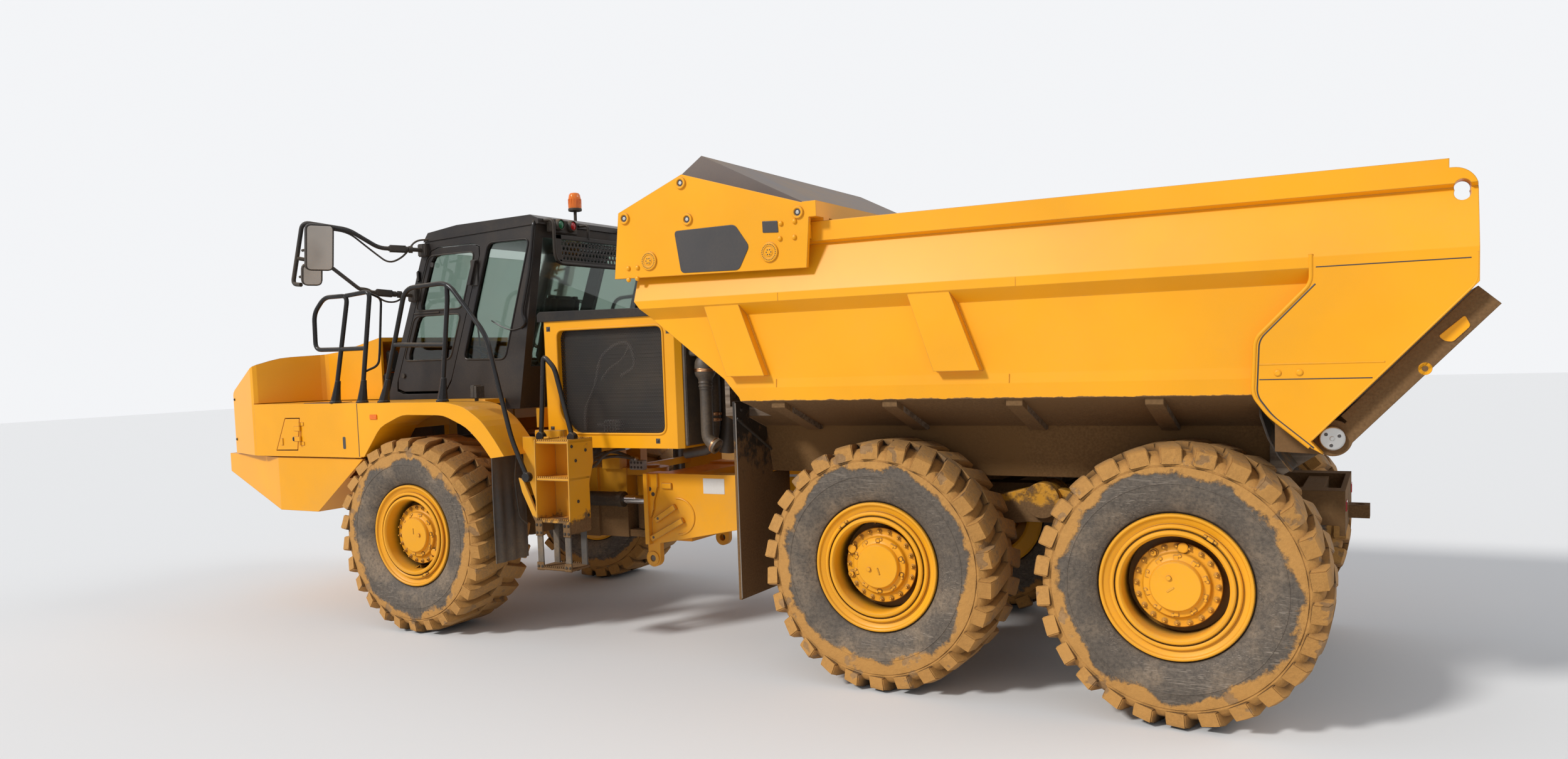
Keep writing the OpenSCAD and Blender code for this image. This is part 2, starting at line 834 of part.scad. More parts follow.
// Side outline of the cab, drawn in by t, and open upwards by the given height
function cab_outline(t, over) = [
    [cab_front_low[0] - t, cab_floor_z + t], [cab_front_low[0] - t, cab_front_low[1]],
    [cab_front_top[0] - t, cab_front_top[1] + over], [cab_rear_top[0] + t, cab_rear_top[1] + over],
    [cab_rear_low[0] + t, cab_floor_z + t]
];

function door_rear_x(z) = between(door_rear_low, door_rear_top,
    (z - door_low_z) / (door_top_z - door_low_z))[0];
function door_front_x(z) = cab_front_x(z) - door_pillar;

// Outline between two heights, drawn in from the door's front and rear edges
function door_outline(z0, z1, inset) = [
    [door_front_x(z0) - inset, z0], [door_front_x(z1) - inset, z1],
    [door_rear_x(z1) + inset, z1], [door_rear_x(z0) + inset, z0]
];
pane_bend = 60;
door_bend = 110;
upper_pane = round_corners(door_outline(pane_bar_z + 22, pane_top_z, door_frame), pane_bend);
lower_pane = round_corners(door_outline(pane_low_z, pane_bar_z - 22, door_frame), pane_bend);
full_pane = round_corners(door_outline(pane_low_z, pane_top_z, door_frame), pane_bend);
rear_side_window = round_corners([[2306, 2225], [1960, 3190], [1510, 3190], [1834, 2213]], pane_bend);

module cab_shell() {
    color(black)
        difference() {
            side_plate(cab_outline(0, 0), -cab_y, cab_y);
            side_plate(cab_outline(cab_wall, 200), -cab_y + cab_wall, cab_y - cab_wall);
            side_plate(round_corners(door_outline(door_low_z - sill_gap, door_top_z + door_gap, -door_gap),
                                     door_bend),
                       cab_y - cab_wall - 10, cab_y + 10);
            side_plate(rear_side_window, cab_y - cab_wall - 10, cab_y + 10);
            side_plate(rear_side_window, -cab_y - 10, -cab_y + cab_wall + 10);
            side_plate(full_pane, -cab_y - 10, -cab_y + cab_wall + 10);
            // windscreen and rear window
            side_plate([[cab_front_x(2080) - 100, 2080], [cab_front_x(2080) + 100, 2080],
                        [cab_front_x(3170) + 100, 3170], [cab_front_x(3170) - 100, 3170]],
                       -cab_y + 110, cab_y - 110);
            side_plate([[cab_rear_x(2150) - 100, 2150], [cab_rear_x(2150) + 100, 2150],
                        [cab_rear_x(3200) + 100, 3200], [cab_rear_x(3200) - 100, 3200]],
                       -cab_y + 90, cab_y - 90);
        }
}

roof_front = [2300, cab_top_z + 115];
roof_rear = [1480, cab_top_z + 130];
roof_back_x = 1400;

function roof_top(x) = between(roof_rear, roof_front, (x - roof_rear[0]) / (roof_front[0] - roof_rear[0]))[1];

module cab_roof() {
    color(black)
        side_plate([[2700, cab_top_z], [2640, cab_top_z + 75], roof_front,
                    roof_rear, [roof_back_x, cab_top_z + 95], [roof_back_x, cab_top_z + 51],
                    [cab_rear_top[0], cab_rear_top[1]], [cab_front_top[0], cab_front_top[1]]],
                   -cab_y - 10, cab_y + 10);
}

// Perforated guard below the roof's rear edge, in a frame of tube
module roof_guard() {
    guard_x = roof_back_x - 100;
    hanger_y = 400;
    guard_y = 740;
    guard_z0 = 2975;
    guard_z1 = 3215;
    tube_r = 14;
    hanger_z = cab_top_z + 70;
    color(black)
        difference() {
            union() {
                block([guard_x - 3, -guard_y, guard_z0], [guard_x + 3, guard_y, guard_z1]);
                for (z = [guard_z0, guard_z1])
                    pin_y(guard_x, z, -guard_y - tube_r, guard_y + tube_r, tube_r);
                both_sides() {
                    pin_z(guard_x, guard_y, guard_z0, guard_z1, tube_r);
                    pin_z(guard_x, hanger_y, guard_z1, hanger_z + tube_r, tube_r);
                    pin_x(hanger_y, hanger_z, guard_x, roof_back_x - seat_gap, tube_r);
                }
            }
            // rows of holes
            for (row = [0 : 2], k = [-6 : 6])
                pin_x(k * 105 + (row % 2) * 40, guard_z0 + 60 + row * 60, guard_x - 20, guard_x + 20, 22);
        }
}

module cab_door() {
    color(black) {
        difference() {
            side_plate(round_corners(door_outline(door_low_z, door_top_z, 0), door_bend), cab_y - cab_wall, cab_y);
            side_plate(lower_pane, cab_y - cab_wall - 1, cab_y + 1);
            side_plate(upper_pane, cab_y - cab_wall - 1, cab_y + 1);
        }
        // handle near the rear edge
        side_plate([[2150, 2850], [2180, 2850], [2110, 3050], [2080, 3050]], cab_y, cab_y + 40);
    }
}

glass_rebate = 22;

module side_glass(outline) {
    side_plate(outline, cab_y - glass_rebate - glass_t, cab_y - glass_rebate);
}

module door_glass() {
    color(dark_glass) {
        side_glass(lower_pane);
        side_glass(upper_pane);
    }
}

module cab_glass() {
    rebate = glass_rebate;
    color(dark_glass) {
        both_sides()
            side_glass(rear_side_window);
        mirror([0, 1, 0])
            side_glass(full_pane);
        side_plate([[cab_front_x(2080) - rebate - glass_t, 2080], [cab_front_x(2080) - rebate, 2080],
                    [cab_front_x(3170) - rebate, 3170], [cab_front_x(3170) - rebate - glass_t, 3170]],
                   -cab_y + 110, cab_y - 110);
        side_plate([[cab_rear_x(2150) + rebate, 2150], [cab_rear_x(2150) + rebate + glass_t, 2150],
                    [cab_rear_x(3200) + rebate + glass_t, 3200], [cab_rear_x(3200) + rebate, 3200]],
                   -cab_y + 90, cab_y - 90);
    }
}

module seat() {
    base_z = cab_floor_z + cab_wall;
    color(black) {
        block([2080, -160, base_z], [2380, 160, base_z + 220]);
        block([1980, -260, base_z + 220], [2480, 260, base_z + 350]);
        side_plate([[2060, base_z + 340], [1900, base_z + 950], [1800, base_z + 940], [1960, base_z + 240]],
                   -240, 240);
    }
}

module controls() {
    base_z = cab_floor_z + cab_wall;
    color(grey) {
        side_plate([[3100, base_z], [3100, 2080], [2900, 2180], [2820, 2120], [2860, base_z]], -300, 300);
        translate([2870, 0, 2180])
            rotate([0, -28, 0]) {
                translate([0, 0, -80])
                    cylinder(h = 180, r = 25);
                translate([0, 0, 90])
                    rotate_extrude($fn = 32)
                        translate([190, 0])
                            circle(r = 16, $fn = 16);
                for (turn = [0, 120, 240])
                    rotate([0, 90, turn])
                        translate([-96, 0, 0])
                            cylinder(h = 190, r = 9);
            }
    }
}

// Handrails, mirrors and lamps

rail_line_y = 1380;

module rail_foot(x, z) {
    translate([x, rail_line_y, z])
        cylinder(h = 190, r1 = 40, r2 = rail_tube_r + 2, $fn = 12);
}

module handrails() {
    y = rail_line_y;
    foot_z = deck_z;
    front_hoop = [
        [3238, y, foot_z + 20], [3010, y, 2790], [3300, y, 2790], [3438, y, 2660],
        [3445, y, 2350], [3130, y, 2345]
    ];
    second = [[3030, y, 2790], [2740, y, 2810], [2907, y, foot_z + 20]];
    long_rail = [
        [2652, y, foot_z + 20], [2330, y, 2810], [1860, y, 2830], [1480, y, 2400],
        [1270, y, 1590], [1130, y, 1300]
    ];
    middle = [[1982, y, foot_z + 20], [1868, y, 2700], [1868, y, 2820]];
    ladder_loop = [[1150, 1180, 1600], [1090, 1180, 2230], [985, 1180, 2130], [840, 1180, 1595]];
    color(black) {
        for (route = [front_hoop, long_rail, middle])
            rail_foot(route[0][0], foot_z);
        rail_foot(second[2][0], foot_z);
        tube(rounded(front_hoop, 60), rail_tube_r);
        tube(rounded(second, 60), rail_tube_r);
        tube(rounded(long_rail, 90), rail_tube_r);
        tube(rounded(middle, 40), rail_tube_r);
        tube([[2480, y, 2360], [1925, y, 2340]], rail_tube_r);
        tube([[3120, y, 2345], [2825, y, 2345]], rail_tube_r);
        tube(rounded(ladder_loop, 50), rail_tube_r);
    }
}

mirror_y = 1600;
mirror_arm_top = [3237, 3400];
mirror_arm_foot = [3400, 2900];

module mirrors() {
    color(black)
        both_sides() {
            tube(rounded([[2690, cab_y, 3180], [2690, cab_y + 90, 3180], [2860, 1150, 3190], [2930, 1400, 3330],
                          [mirror_arm_top[0], mirror_y, mirror_arm_top[1]],
                          [mirror_arm_foot[0], mirror_y, mirror_arm_foot[1]], [3300, mirror_y, 2890]], 60),
                 18, up = [0.5, -0.2, 0.3]);
            tube(rounded([[2840, cab_y, 2800], [2840, cab_y + 90, 2800], [2980, 1250, 2830], [3120, 1480, 3060],
                          [3320, mirror_y, 3110]], 60), 16, up = [0.5, -0.2, 0.3]);
            mirror_head(3060, 3180, 190, 110);
            mirror_head(3170, 2965, 80, 90);
        }
}

module mirror_head(x, z, half_h, half_w) {
    translate([x, mirror_y - 10, z])
        rotate([0, -14, -25])
            block([-20, -half_w, -half_h], [30, half_w, half_h]);
    // bar from the head to the arm
    arm_x = between(mirror_arm_top, mirror_arm_foot, (mirror_arm_top[1] - z) /
        (mirror_arm_top[1] - mirror_arm_foot[1]))[0];
    block([x, mirror_y - 12, z - 12], [arm_x, mirror_y + 12, z + 12]);
}

module lamps() {
    beacon = [2040, -450];
    post_r = 16;
    roof_z = cab_top_z + 130;
    color("orange") {
        pin_z(beacon[0], beacon[1], roof_z + 220, roof_z + 370, 62);
    }
    color(black) {
        pin_z(beacon[0], beacon[1], roof_top(beacon[0] - post_r) + seat_gap, roof_z + 200, post_r);
        pin_z(beacon[0], beacon[1], roof_z + 195, roof_z + 222, 50);
        // round lamps at the rear of the roof
        for (y = [620, 700])
            pin_x(y, cab_top_z + 72, roof_back_x - 40, roof_back_x, 22);
    }
    color("white")
        both_sides()
            block([nose_x, 760, 1290], [nose_x + 8, 960, 1380]);
}

// Cooler behind the cab

cowl_x0 = 20;
cowl_x1 = 1350;
cowl_y = 900;
cowl_z0 = 1490;
cowl_z1 = 2500;
cowl_frame = 60;
cowl_edge = 40;
shroud_t = 30;
mesh_outline = round_corners([[160, 1600], [160, 2430], [1190, 2430], [1190, 1760], [1060, 1600]], 70);

// Half of the cowl's plan, with bent corners
cowl_half = [
    [cowl_x1, cowl_y - cowl_edge], [cowl_x1 - cowl_edge, cowl_y],
    [cowl_x0 + cowl_edge, cowl_y], [cowl_x0, cowl_y - cowl_edge]
];

module cooler_cowl() {
    color(yellow)
        difference() {
            translate([0, 0, cowl_z0])
                linear_extrude(cowl_z1 - cowl_z0)
                    polygon(concat(cowl_half, across(cowl_half)));
            block([cowl_x0 + cowl_frame, -cowl_y + cowl_frame, cowl_z0 + cowl_frame],
                  [cowl_x1 - cowl_frame, cowl_y - cowl_frame, cowl_z1 + 1]);
            side_plate(mesh_outline, -cowl_y - 1, cowl_y + 1);
            block([cowl_x0 - 1, -700, cowl_z0 + 140], [cowl_x0 + cowl_frame + 1, 700, cowl_z1 - 90]);
        }
}

module cooler_cover() {
    r = 60;
    color(black)
        side_plate([[cowl_x0 - 20, cowl_z1], [cowl_x0 - 20, cowl_z1 + r - 20], [cowl_x0 + 10, cowl_z1 + r],
                    [cowl_x1 - 10, cowl_z1 + r + 20], [cowl_x1 + 20, cowl_z1 + r], [cowl_x1 + 20, cowl_z1]],
                   -cowl_y - 15, cowl_y + 15);
}

module cooler_core() {
    color(black) {
        both_sides()
            side_plate(mesh_outline, cowl_y - cowl_frame, cowl_y - cowl_frame + 20);
        block([cowl_x0 + cowl_frame, -cowl_y + cowl_frame, cowl_z0 + cowl_frame],
              [cowl_x1 - cowl_frame, cowl_y - cowl_frame, cowl_z1]);
        // shroud over the rear face
        block([cowl_x0 - shroud_t, -cowl_y + cowl_edge, cowl_z0 + 20], [cowl_x0, cowl_y - cowl_edge, cowl_z1]);
    }
}

module exhaust() {
    shroud_x = cowl_x0 - shroud_t;
    x = shroud_x - 95;
    y = 740;
    can_top = 2215;
    color(black) {
        // duct out of the shroud, can below it, and the pipe
        side_plate([[shroud_x, can_top + 145], [x - 20, can_top + 85], [x - 50, can_top], [shroud_x, can_top]],
                   y - 80, y + 80);
        pin_z(x, y, 1960, can_top, 75);
        tube(rounded([[x, y, 1970], [x, y, 1560], [x - 75, y, 1500]], 60), 50, up = [0, 1, 0], sides = 16);
    }
}

// Dump body

gate_pin = [-4390, 1639];
gate_pin_r = 56;
gate_boss_r = 95;
arm_y0 = 1346;
arm_y1 = 1400;
slant_low = [-4294, 1628];
slant_top = [body_rear_x, 2408];
chute_x = -4040;
chute_end = [-4355, 1545];
// What is cut away behind the slanted rear edge and under the chute
rear_cut = [
    [-4360, 1000], [-4352, 1561], slant_low, slant_top, [body_rear_x - 100, 2408],
    [body_rear_x - 100, 1000]
];

bench_y = tyre_inner_y - tyre_gap - skin;
floor_y = bench_y - bench_lean;
rail_back = 125;
end_top_z = body_top_z - 45;
end_r = 110;

// Half section of the tub, outside then inside
tub_outside = [
    [side_rail_y, body_top_z], [side_rail_y, body_top_z - side_rail_h],
    [side_rail_y - 40, body_top_z - side_rail_h - 15], [ridge_y, ridge_z], [ridge_y, ridge_z - 55],
    [wall_y, ridge_z - 130], [wall_y, belt_z + 60], [wall_y + 5, belt_z], [wall_y, belt_z - 90],
    [bench_y + skin, bench_z - skin], [floor_y + skin, floor_z], [0, floor_z]
];
tub_inside = [
    [0, floor_z + skin], [floor_y, floor_z + skin], [bench_y, bench_z],
    [inner_y, belt_z - 60], [inner_y, body_top_z]
];

module tub_section() {
    long_bar(concat(tub_outside, tub_inside), body_rear_x, 60);
    mirror([0, 1, 0])
        long_bar(concat(tub_outside, tub_inside), body_rear_x, 60);
}

module dump_body() {
    color(yellow)
        difference() {
            union() {
                tub_section();
                // front wall of the tub, which carries the ejector cylinder
                front_wall();
                both_sides() {
                    rear_plate();
                    for (x = [-960, -2430])
                        side_rib(x);
                }
                for (x = [-1100, -1900, -2700, -3500, -4200])
                    outrigger(x);
            }
            // slanted front edge of the sides
            side_plate([[100, 2880], [100, 1000], [-1200, 1000], [-810, 1897], [-700, 2020], [-147, 2436],
                        [-30, 2574], [-20, 2880]],
                       inner_y - 200, 1600);
            side_plate([[100, 2880], [100, 1000], [-1200, 1000], [-810, 1897], [-700, 2020], [-147, 2436],
                        [-30, 2574], [-20, 2880]],
                       -1600, -inner_y + 200);
            block([body_front_x, -inner_y, 1000], [100, inner_y, 2900]);
            // slanted rear edge, and the floor's end under the chute
            side_plate(rear_cut, -1700, 1700);
            block([body_rear_x - 100, -bench_y - skin - 1, 1000],
                  [chute_x, bench_y + skin + 1, bench_z - skin - 1]);
            // the rail stops short of the end plate, which is rounded and has an oval hole
            block([body_rear_x - 1, -1600, end_top_z], [body_rear_x + rail_back, 1600, body_top_z + 1]);
            difference() {
                block([body_rear_x - 1, -1600, end_top_z - end_r], [body_rear_x + end_r, 1600, end_top_z + 1]);
                pin_y(body_rear_x + end_r, end_top_z - end_r, -1601, 1601, end_r);
            }
            for (z = [end_top_z - end_r - 15, end_top_z - end_r + 15])
                pin_y(body_rear_x + 68, z, -1601, 1601, 36);
            // room for the tailgate's bosses
            both_sides()
                pin_y(gate_pin[0], gate_pin[1], arm_y0 - move_gap, arm_y1 + move_gap, gate_boss_r + move_gap);
        }
    color(yellow) {
        // chute at the rear end of the floor
        side_plate([[chute_x, floor_z], [chute_x, floor_z + skin], [chute_end[0], chute_end[1] + 30],
                    chute_end], -bench_y, bench_y);
        both_sides() {
            side_plate([[chute_x, floor_z], [chute_x, bench_z - skin], [-4329, bench_z - skin],
                        [-4310, 1600], chute_end], bench_y, bench_y + 25);
            // bracket that carries the tailgate's pin
            side_plate([[-4110, 1560], [-4340, 1548], [-4400, 1560], [-4440, 1640], [-4400, 1700],
                        [-4330, 1720], [-4280, 1900], [-4110, 1900]],
                       inner_y, arm_y0 - move_gap);
            pin_y(gate_pin[0], gate_pin[1], inner_y, arm_y1 + 20, gate_pin_r);
        }
    }
}

// Front wall of the tub, bored for the ejector cylinder
module front_wall() {
    difference() {
        long_bar([[-bench_y, bench_z - 10], [-floor_y, floor_z],
                  [floor_y, floor_z], [bench_y, bench_z - 10], [inner_y + 5, belt_z - 60],
                  [inner_y + 5, 2480], [-inner_y - 5, 2480], [-inner_y - 5, belt_z - 60]],
                 body_front_x - 40, body_front_x);
        pin_x(0, eject_z, body_front_x - 41, body_front_x + 1, eject_r + seat_gap);
    }
}

// Thick plate over the rear end of each side
module rear_plate() {
    side_plate([[-4297, 2550], [-4297, 2442], [-4031, 2167], [-4018, 1873], [-4095, 1765],
                [-4288, 1599], [-4352, 1561], slant_low, slant_top, [body_rear_x, 2550]],
               arm_y1 + move_gap, ridge_y);
}

// Leaning hat-section rib on the side wall
module side_rib(x) {
    side_plate([[x + 360, ridge_z - 60], [x + 90, ridge_z - 60], [x - 90, belt_z + 80], [x + 200, belt_z + 80]],
               wall_y - 10, ridge_y - 8);
}

module outrigger(x) {
    rib = 45;
    half = [
        [bench_y + 25, bench_z - skin - 20], [bench_y + 80, bench_z - skin - rib + 20],
        [wall_y - 20, belt_z - 90 - rib], [wall_y - 20, belt_z - 90], [bench_y, bench_z - 10]
    ];
    long_bar(half, x - 50, x + 50);
    mirror([0, 1, 0])
        long_bar(half, x - 50, x + 50);
    block([x - 50, -rail_y, frame_top_z], [x + 50, rail_y, floor_z + 10]);
}

// Ejector: a blade inside the tub, hung from a carriage that straddles the rails

eject_base_x = body_front_x + 10;
stage_len = 850;
stage_step = 22;
stage_wall = 14;
stage_gap = 34;
blade_top_x = eject_base_x - stage_len - 3 * stage_step - stage_gap - blade_t;
blade_low_x = blade_top_x + 680;
blade_fold_z = 2150;
carriage_outline = [[-475, 3403], [64, 3192], [117, 2739], [blade_top_x + 80, 2718], [blade_top_x + 47, 3115]];
roof_z = body_top_z + 20;

// Outer plate of the carriage with its lifting rings and raised pads
module carriage_plate() {
    rings = [[-467, 3345], [10, 3150], [-510, 3099], [blade_top_x + 129, 3070]];
    ring_r = 40;
    pads = [[-182, 2845], [blade_top_x + 346, 2834]];
    difference() {
        union() {
            side_plate(carriage_outline, side_rail_y + 62, carriage_y);
            for (p = rings)
                pin_y(p[0], p[1], carriage_y - 1, carriage_y + 8, ring_r);
            for (p = pads)
                pin_y(p[0], p[1], carriage_y - 1, carriage_y + 6, 64);
        }
        for (p = rings)
            pin_y(p[0], p[1], side_rail_y + 61, carriage_y + 9, 22);
    }
}

module ejector() {
    low_z = floor_z + skin + blade_gap;
    side_y = inner_y - blade_gap;
    blade_outline = [
        [blade_low_x, low_z], [blade_top_x, blade_fold_z], [blade_top_x, roof_z + 60],
        [blade_top_x + blade_t, roof_z + 60], [blade_top_x + blade_t, blade_fold_z],
        [blade_low_x + blade_t, low_z]
    ];
    color(yellow) {
        intersection() {
            side_plate(blade_outline, -side_y, side_y);
            long_bar([[-floor_y + blade_gap, low_z], [floor_y - blade_gap, low_z],
                      [bench_y - blade_gap, bench_z + blade_gap], [side_y, belt_z - 60 + blade_gap],
                      [side_y, roof_z + 100], [-side_y, roof_z + 100], [-side_y, belt_z - 60 + blade_gap],
                      [-bench_y + blade_gap, bench_z + blade_gap]], -2000, 0);
        }
        // beams over the rails and the carriage plates outside them
        for (x = [blade_top_x, -560, -40])
            block([x, -carriage_y, roof_z], [x + 100, carriage_y, roof_z + 100]);
        both_sides() {
            carriage_plate();
            for (x = [-1400, -100])
                block([x, side_rail_y + move_gap, body_top_z - 110], [x + 180, side_rail_y + 63, body_top_z - 20]);
            // wear pads that slide on the rails
            for (x = [blade_top_x, -560, -40])
                block([x, inner_y + 30, body_top_z + seat_gap], [x + 100, side_rail_y - 10, roof_z + 1]);
            side_plate([[blade_top_x + 20, 2400], [blade_top_x + 20, roof_z + 10], [-560, roof_z + 10],
                        [-700, roof_z - 100]],
                       side_y - 300, side_y - 260);
        }
    }
}

module ejector_cover() {
    color(grey)
        difference() {
            side_plate([[-1340, roof_z + 100], [-504, 3552], [60, roof_z + 150], [60, roof_z + 100]],
                       -1300, 1300);
            side_plate([[-1290, roof_z + 99], [-504, 3525], [30, roof_z + 130], [30, roof_z + 99]],
                       -1270, 1270);
        }
}

module eject_tube(r, x0, bore_r) {
    color(steel)
        difference() {
            pin_x(0, eject_z, x0 - stage_len, x0, r);
            pin_x(0, eject_z, x0 - stage_len - 1, x0 - 20, bore_r);
        }
}

function stage_r(i) = eject_r - i * stage_wall;

module eject_barrel() {
    color(black)
        difference() {
            union() {
                pin_x(0, eject_z, eject_base_x - stage_len, eject_base_x, eject_r);
                pin_x(0, eject_z, body_front_x, eject_base_x, eject_r + 40);
            }
            pin_x(0, eject_z, eject_base_x - stage_len - 1, eject_base_x - 20, stage_r(1) + pin_gap);
        }
}

module eject_stage(i) {
    eject_tube(stage_r(i), eject_base_x - i * stage_step, stage_r(i + 1) + pin_gap);
}

module eject_rod() {
    color(steel)
        pin_x(0, eject_z, blade_top_x + blade_t, eject_base_x - 4 * stage_step, stage_r(4));
}

// Tailgate: a plate that closes the slanted rear edge, on two arms

gate_len = 985;
gate_plate_t = 40;
gate_set_back = 12;
slant_turn = atan2(slant_top[1] - slant_low[1], slant_top[0] - slant_low[0]);

// Local frame at the hinge pin: x up the slant, z towards the body
module gate_place() {
    translate([gate_pin[0], 0, gate_pin[1]])
        rotate([0, -slant_turn, 0])
            mirror([0, 0, 1])
                children();
}

module gate_plate(x0, x1, y0, z0, z1) {
    block([x0, -y0, z0], [x1, y0, z1]);
}

module tailgate() {
    // distance of the hinge pin behind the slanted edge
    reach = slant_low - gate_pin;
    slant = unit(slant_top - slant_low);
    pin_off = abs(reach[0] * slant[1] - reach[1] * slant[0]);
    face = pin_off - gate_set_back;
    color(yellow) {
        both_sides()
            difference() {
                union() {
                    pin_y(gate_pin[0], gate_pin[1], arm_y0, arm_y1, gate_boss_r);
                    gate_place()
                        block([0, arm_y0, -gate_boss_r + 12], [gate_len, arm_y1, face - gate_plate_t + 1]);
                }
                pin_y(gate_pin[0], gate_pin[1], arm_y0 - 1, arm_y1 + 1, gate_pin_r + pin_gap);
            }
        pin_y(gate_pin[0], gate_pin[1], -inner_y + move_gap, inner_y - move_gap, 62);
        gate_place() {
            gate_plate(0, gate_len, inner_y - move_gap, face - gate_plate_t, face);
            gate_plate(gate_boss_r + 15, gate_len, arm_y1, face - gate_plate_t, face);
            for (x = [260, 600, gate_len - 80])
                gate_plate(x, x + 80, arm_y1, -gate_boss_r + 22, face - gate_plate_t + 1);
        }
    }
}

module mud_flaps() {
    // section in y and z: it follows the body's underside at a small distance
    air = 10;
    section = [
        [rail_y, 480], [1300, 480], [1300, belt_z - 97], [1110, belt_z - 97], [1110, bench_z + 35],
        [bench_y + skin + air, bench_z - skin - air], [floor_y + skin + air, floor_z - air],
        [rail_y, floor_z - air]
    ];
    color(rubber)
        both_sides()
            long_bar(section, -700, -680);
}

module front_flaps() {
    arch_low = [1440, 1450];
    arch_high = [1535, 1565];
    color(rubber)
        both_sides()
            side_plate([arch_low, [arch_low[0], 620], [arch_low[0] + 19, 620],
                        between(arch_low, arch_high, 0.2)], 1050, 1420);
}

tyre(front_x, 1);  // tyre_front_left
tyre(front_x, -1);  // tyre_front_right
tyre(centre_x, 1);  // tyre_centre_left
tyre(centre_x, -1);  // tyre_centre_right
tyre(rear_x, 1);  // tyre_rear_left
tyre(rear_x, -1);  // tyre_rear_right
rim(front_x, 1);  // rim_front_left
rim(front_x, -1);  // rim_front_right
rim(centre_x, 1);  // rim_centre_left
rim(centre_x, -1);  // rim_centre_right
rim(rear_x, 1);  // rim_rear_left
rim(rear_x, -1);  // rim_rear_right
front_axle();
centre_axle();
rear_axle();
walking_beams();
rear_frame();
hitch_casting();
tractor_frame();
steer_barrel(1);  // steer_barrel_left
steer_barrel(-1);  // steer_barrel_right
steer_rod(1);  // steer_rod_left
steer_rod(-1);  // steer_rod_right
bumper();
hood();
side_panels();
side_hatch();
fenders();
steps();
side_tank();
engine();
cab_shell();
cab_roof();
cab_door();
door_glass();
cab_glass();
seat();
controls();
handrails();
mirrors();
lamps();
roof_guard();
cooler_cowl();
cooler_cover();
cooler_core();
exhaust();
dump_body();
ejector();
ejector_cover();
eject_barrel();
eject_stage(1);  // eject_stage_one
eject_stage(2);  // eject_stage_two
eject_stage(3);  // eject_stage_three
eject_rod();
tailgate();
mud_flaps();
front_flaps();
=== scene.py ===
# %% [markdown]
# # An articulated dump truck with an ejector body
# The truck was built as solids in another tool and comes in as a fixed frame. Here it gets its
# looks: paint, dust, mud, glass, rubber, and the smaller pieces that a solid model leaves out.
# Every length is in metres. +X is the truck's front, +Y its left side and +Z is up.

# %% Load the frame
import math

import bmesh
import bpy
from mathutils import Matrix, Vector, noise


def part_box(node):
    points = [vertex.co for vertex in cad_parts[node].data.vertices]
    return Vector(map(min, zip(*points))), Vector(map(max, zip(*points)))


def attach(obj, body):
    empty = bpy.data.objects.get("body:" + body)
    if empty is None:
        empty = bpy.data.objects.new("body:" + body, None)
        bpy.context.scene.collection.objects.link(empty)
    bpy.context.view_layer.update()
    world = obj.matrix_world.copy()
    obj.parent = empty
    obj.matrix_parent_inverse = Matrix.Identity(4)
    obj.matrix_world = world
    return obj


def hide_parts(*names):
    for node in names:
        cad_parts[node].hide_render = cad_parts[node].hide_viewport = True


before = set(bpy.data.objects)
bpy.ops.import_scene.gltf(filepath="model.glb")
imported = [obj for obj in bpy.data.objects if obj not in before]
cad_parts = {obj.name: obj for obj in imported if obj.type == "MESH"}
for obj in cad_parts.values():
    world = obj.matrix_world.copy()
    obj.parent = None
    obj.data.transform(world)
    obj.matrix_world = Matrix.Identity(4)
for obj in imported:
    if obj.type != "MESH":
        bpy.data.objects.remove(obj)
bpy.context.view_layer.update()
scene = bpy.context.scene

# %% [markdown]
# ## The view
# A photograph fixes its camera: straight edges that are parallel on the truck and the ellipses of
# the wheels were fitted, which gave the lens, the place and the three turns below. The lens sits
# low and close behind the left rear wheel, so the near wheels look large and the nose small.

# %% Place the camera
CAMERA_PLACE = Vector((-4.665, 7.791, 2.162))
CAMERA_YAW = 0.5046
CAMERA_PITCH = -0.0637
CAMERA_ROLL = -0.034
LENS_MM = 25.38
FRAME_SHIFT_UP = 0.030
FARTHEST_SEEN = 200


def camera_axes(yaw, pitch, roll):
    """Right, up and forward vectors of a camera with these turns, in radians."""
    forward = Vector((math.sin(yaw) * math.cos(pitch), -math.cos(yaw) * math.cos(pitch), math.sin(pitch)))
    right = forward.cross(Vector((0, 0, 1))).normalized()
    up = right.cross(forward)
    turned_right = math.cos(roll) * right + math.sin(roll) * up
    turned_up = -math.sin(roll) * right + math.cos(roll) * up
    return turned_right, turned_up, forward


right, up, forward = camera_axes(CAMERA_YAW, CAMERA_PITCH, CAMERA_ROLL)
lens = bpy.data.cameras.new("lens")
lens.lens = LENS_MM
lens.shift_y = FRAME_SHIFT_UP
lens.clip_end = FARTHEST_SEEN
camera = bpy.data.objects.new("camera", lens)
camera.matrix_world = Matrix.Translation(CAMERA_PLACE) @ Matrix((right, up, -forward)).transposed().to_4x4()
scene.collection.objects.link(camera)
scene.camera = camera
print("camera looks along", [round(v, 3) for v in forward])

# %% [markdown]
# ## Tools for meshes
# A machine is made of few kinds of form: plates cut to an outline, turned parts, bent tubes and
# rows of bolts. Each kind gets one function here that fills a bmesh, and `piece` turns the filled
# bmesh into an object that rides on a body of the frame.

# %% Helpers that build meshes
FLAT_ANGLE = math.radians(32)
UNMOVED = Matrix.Identity(4)


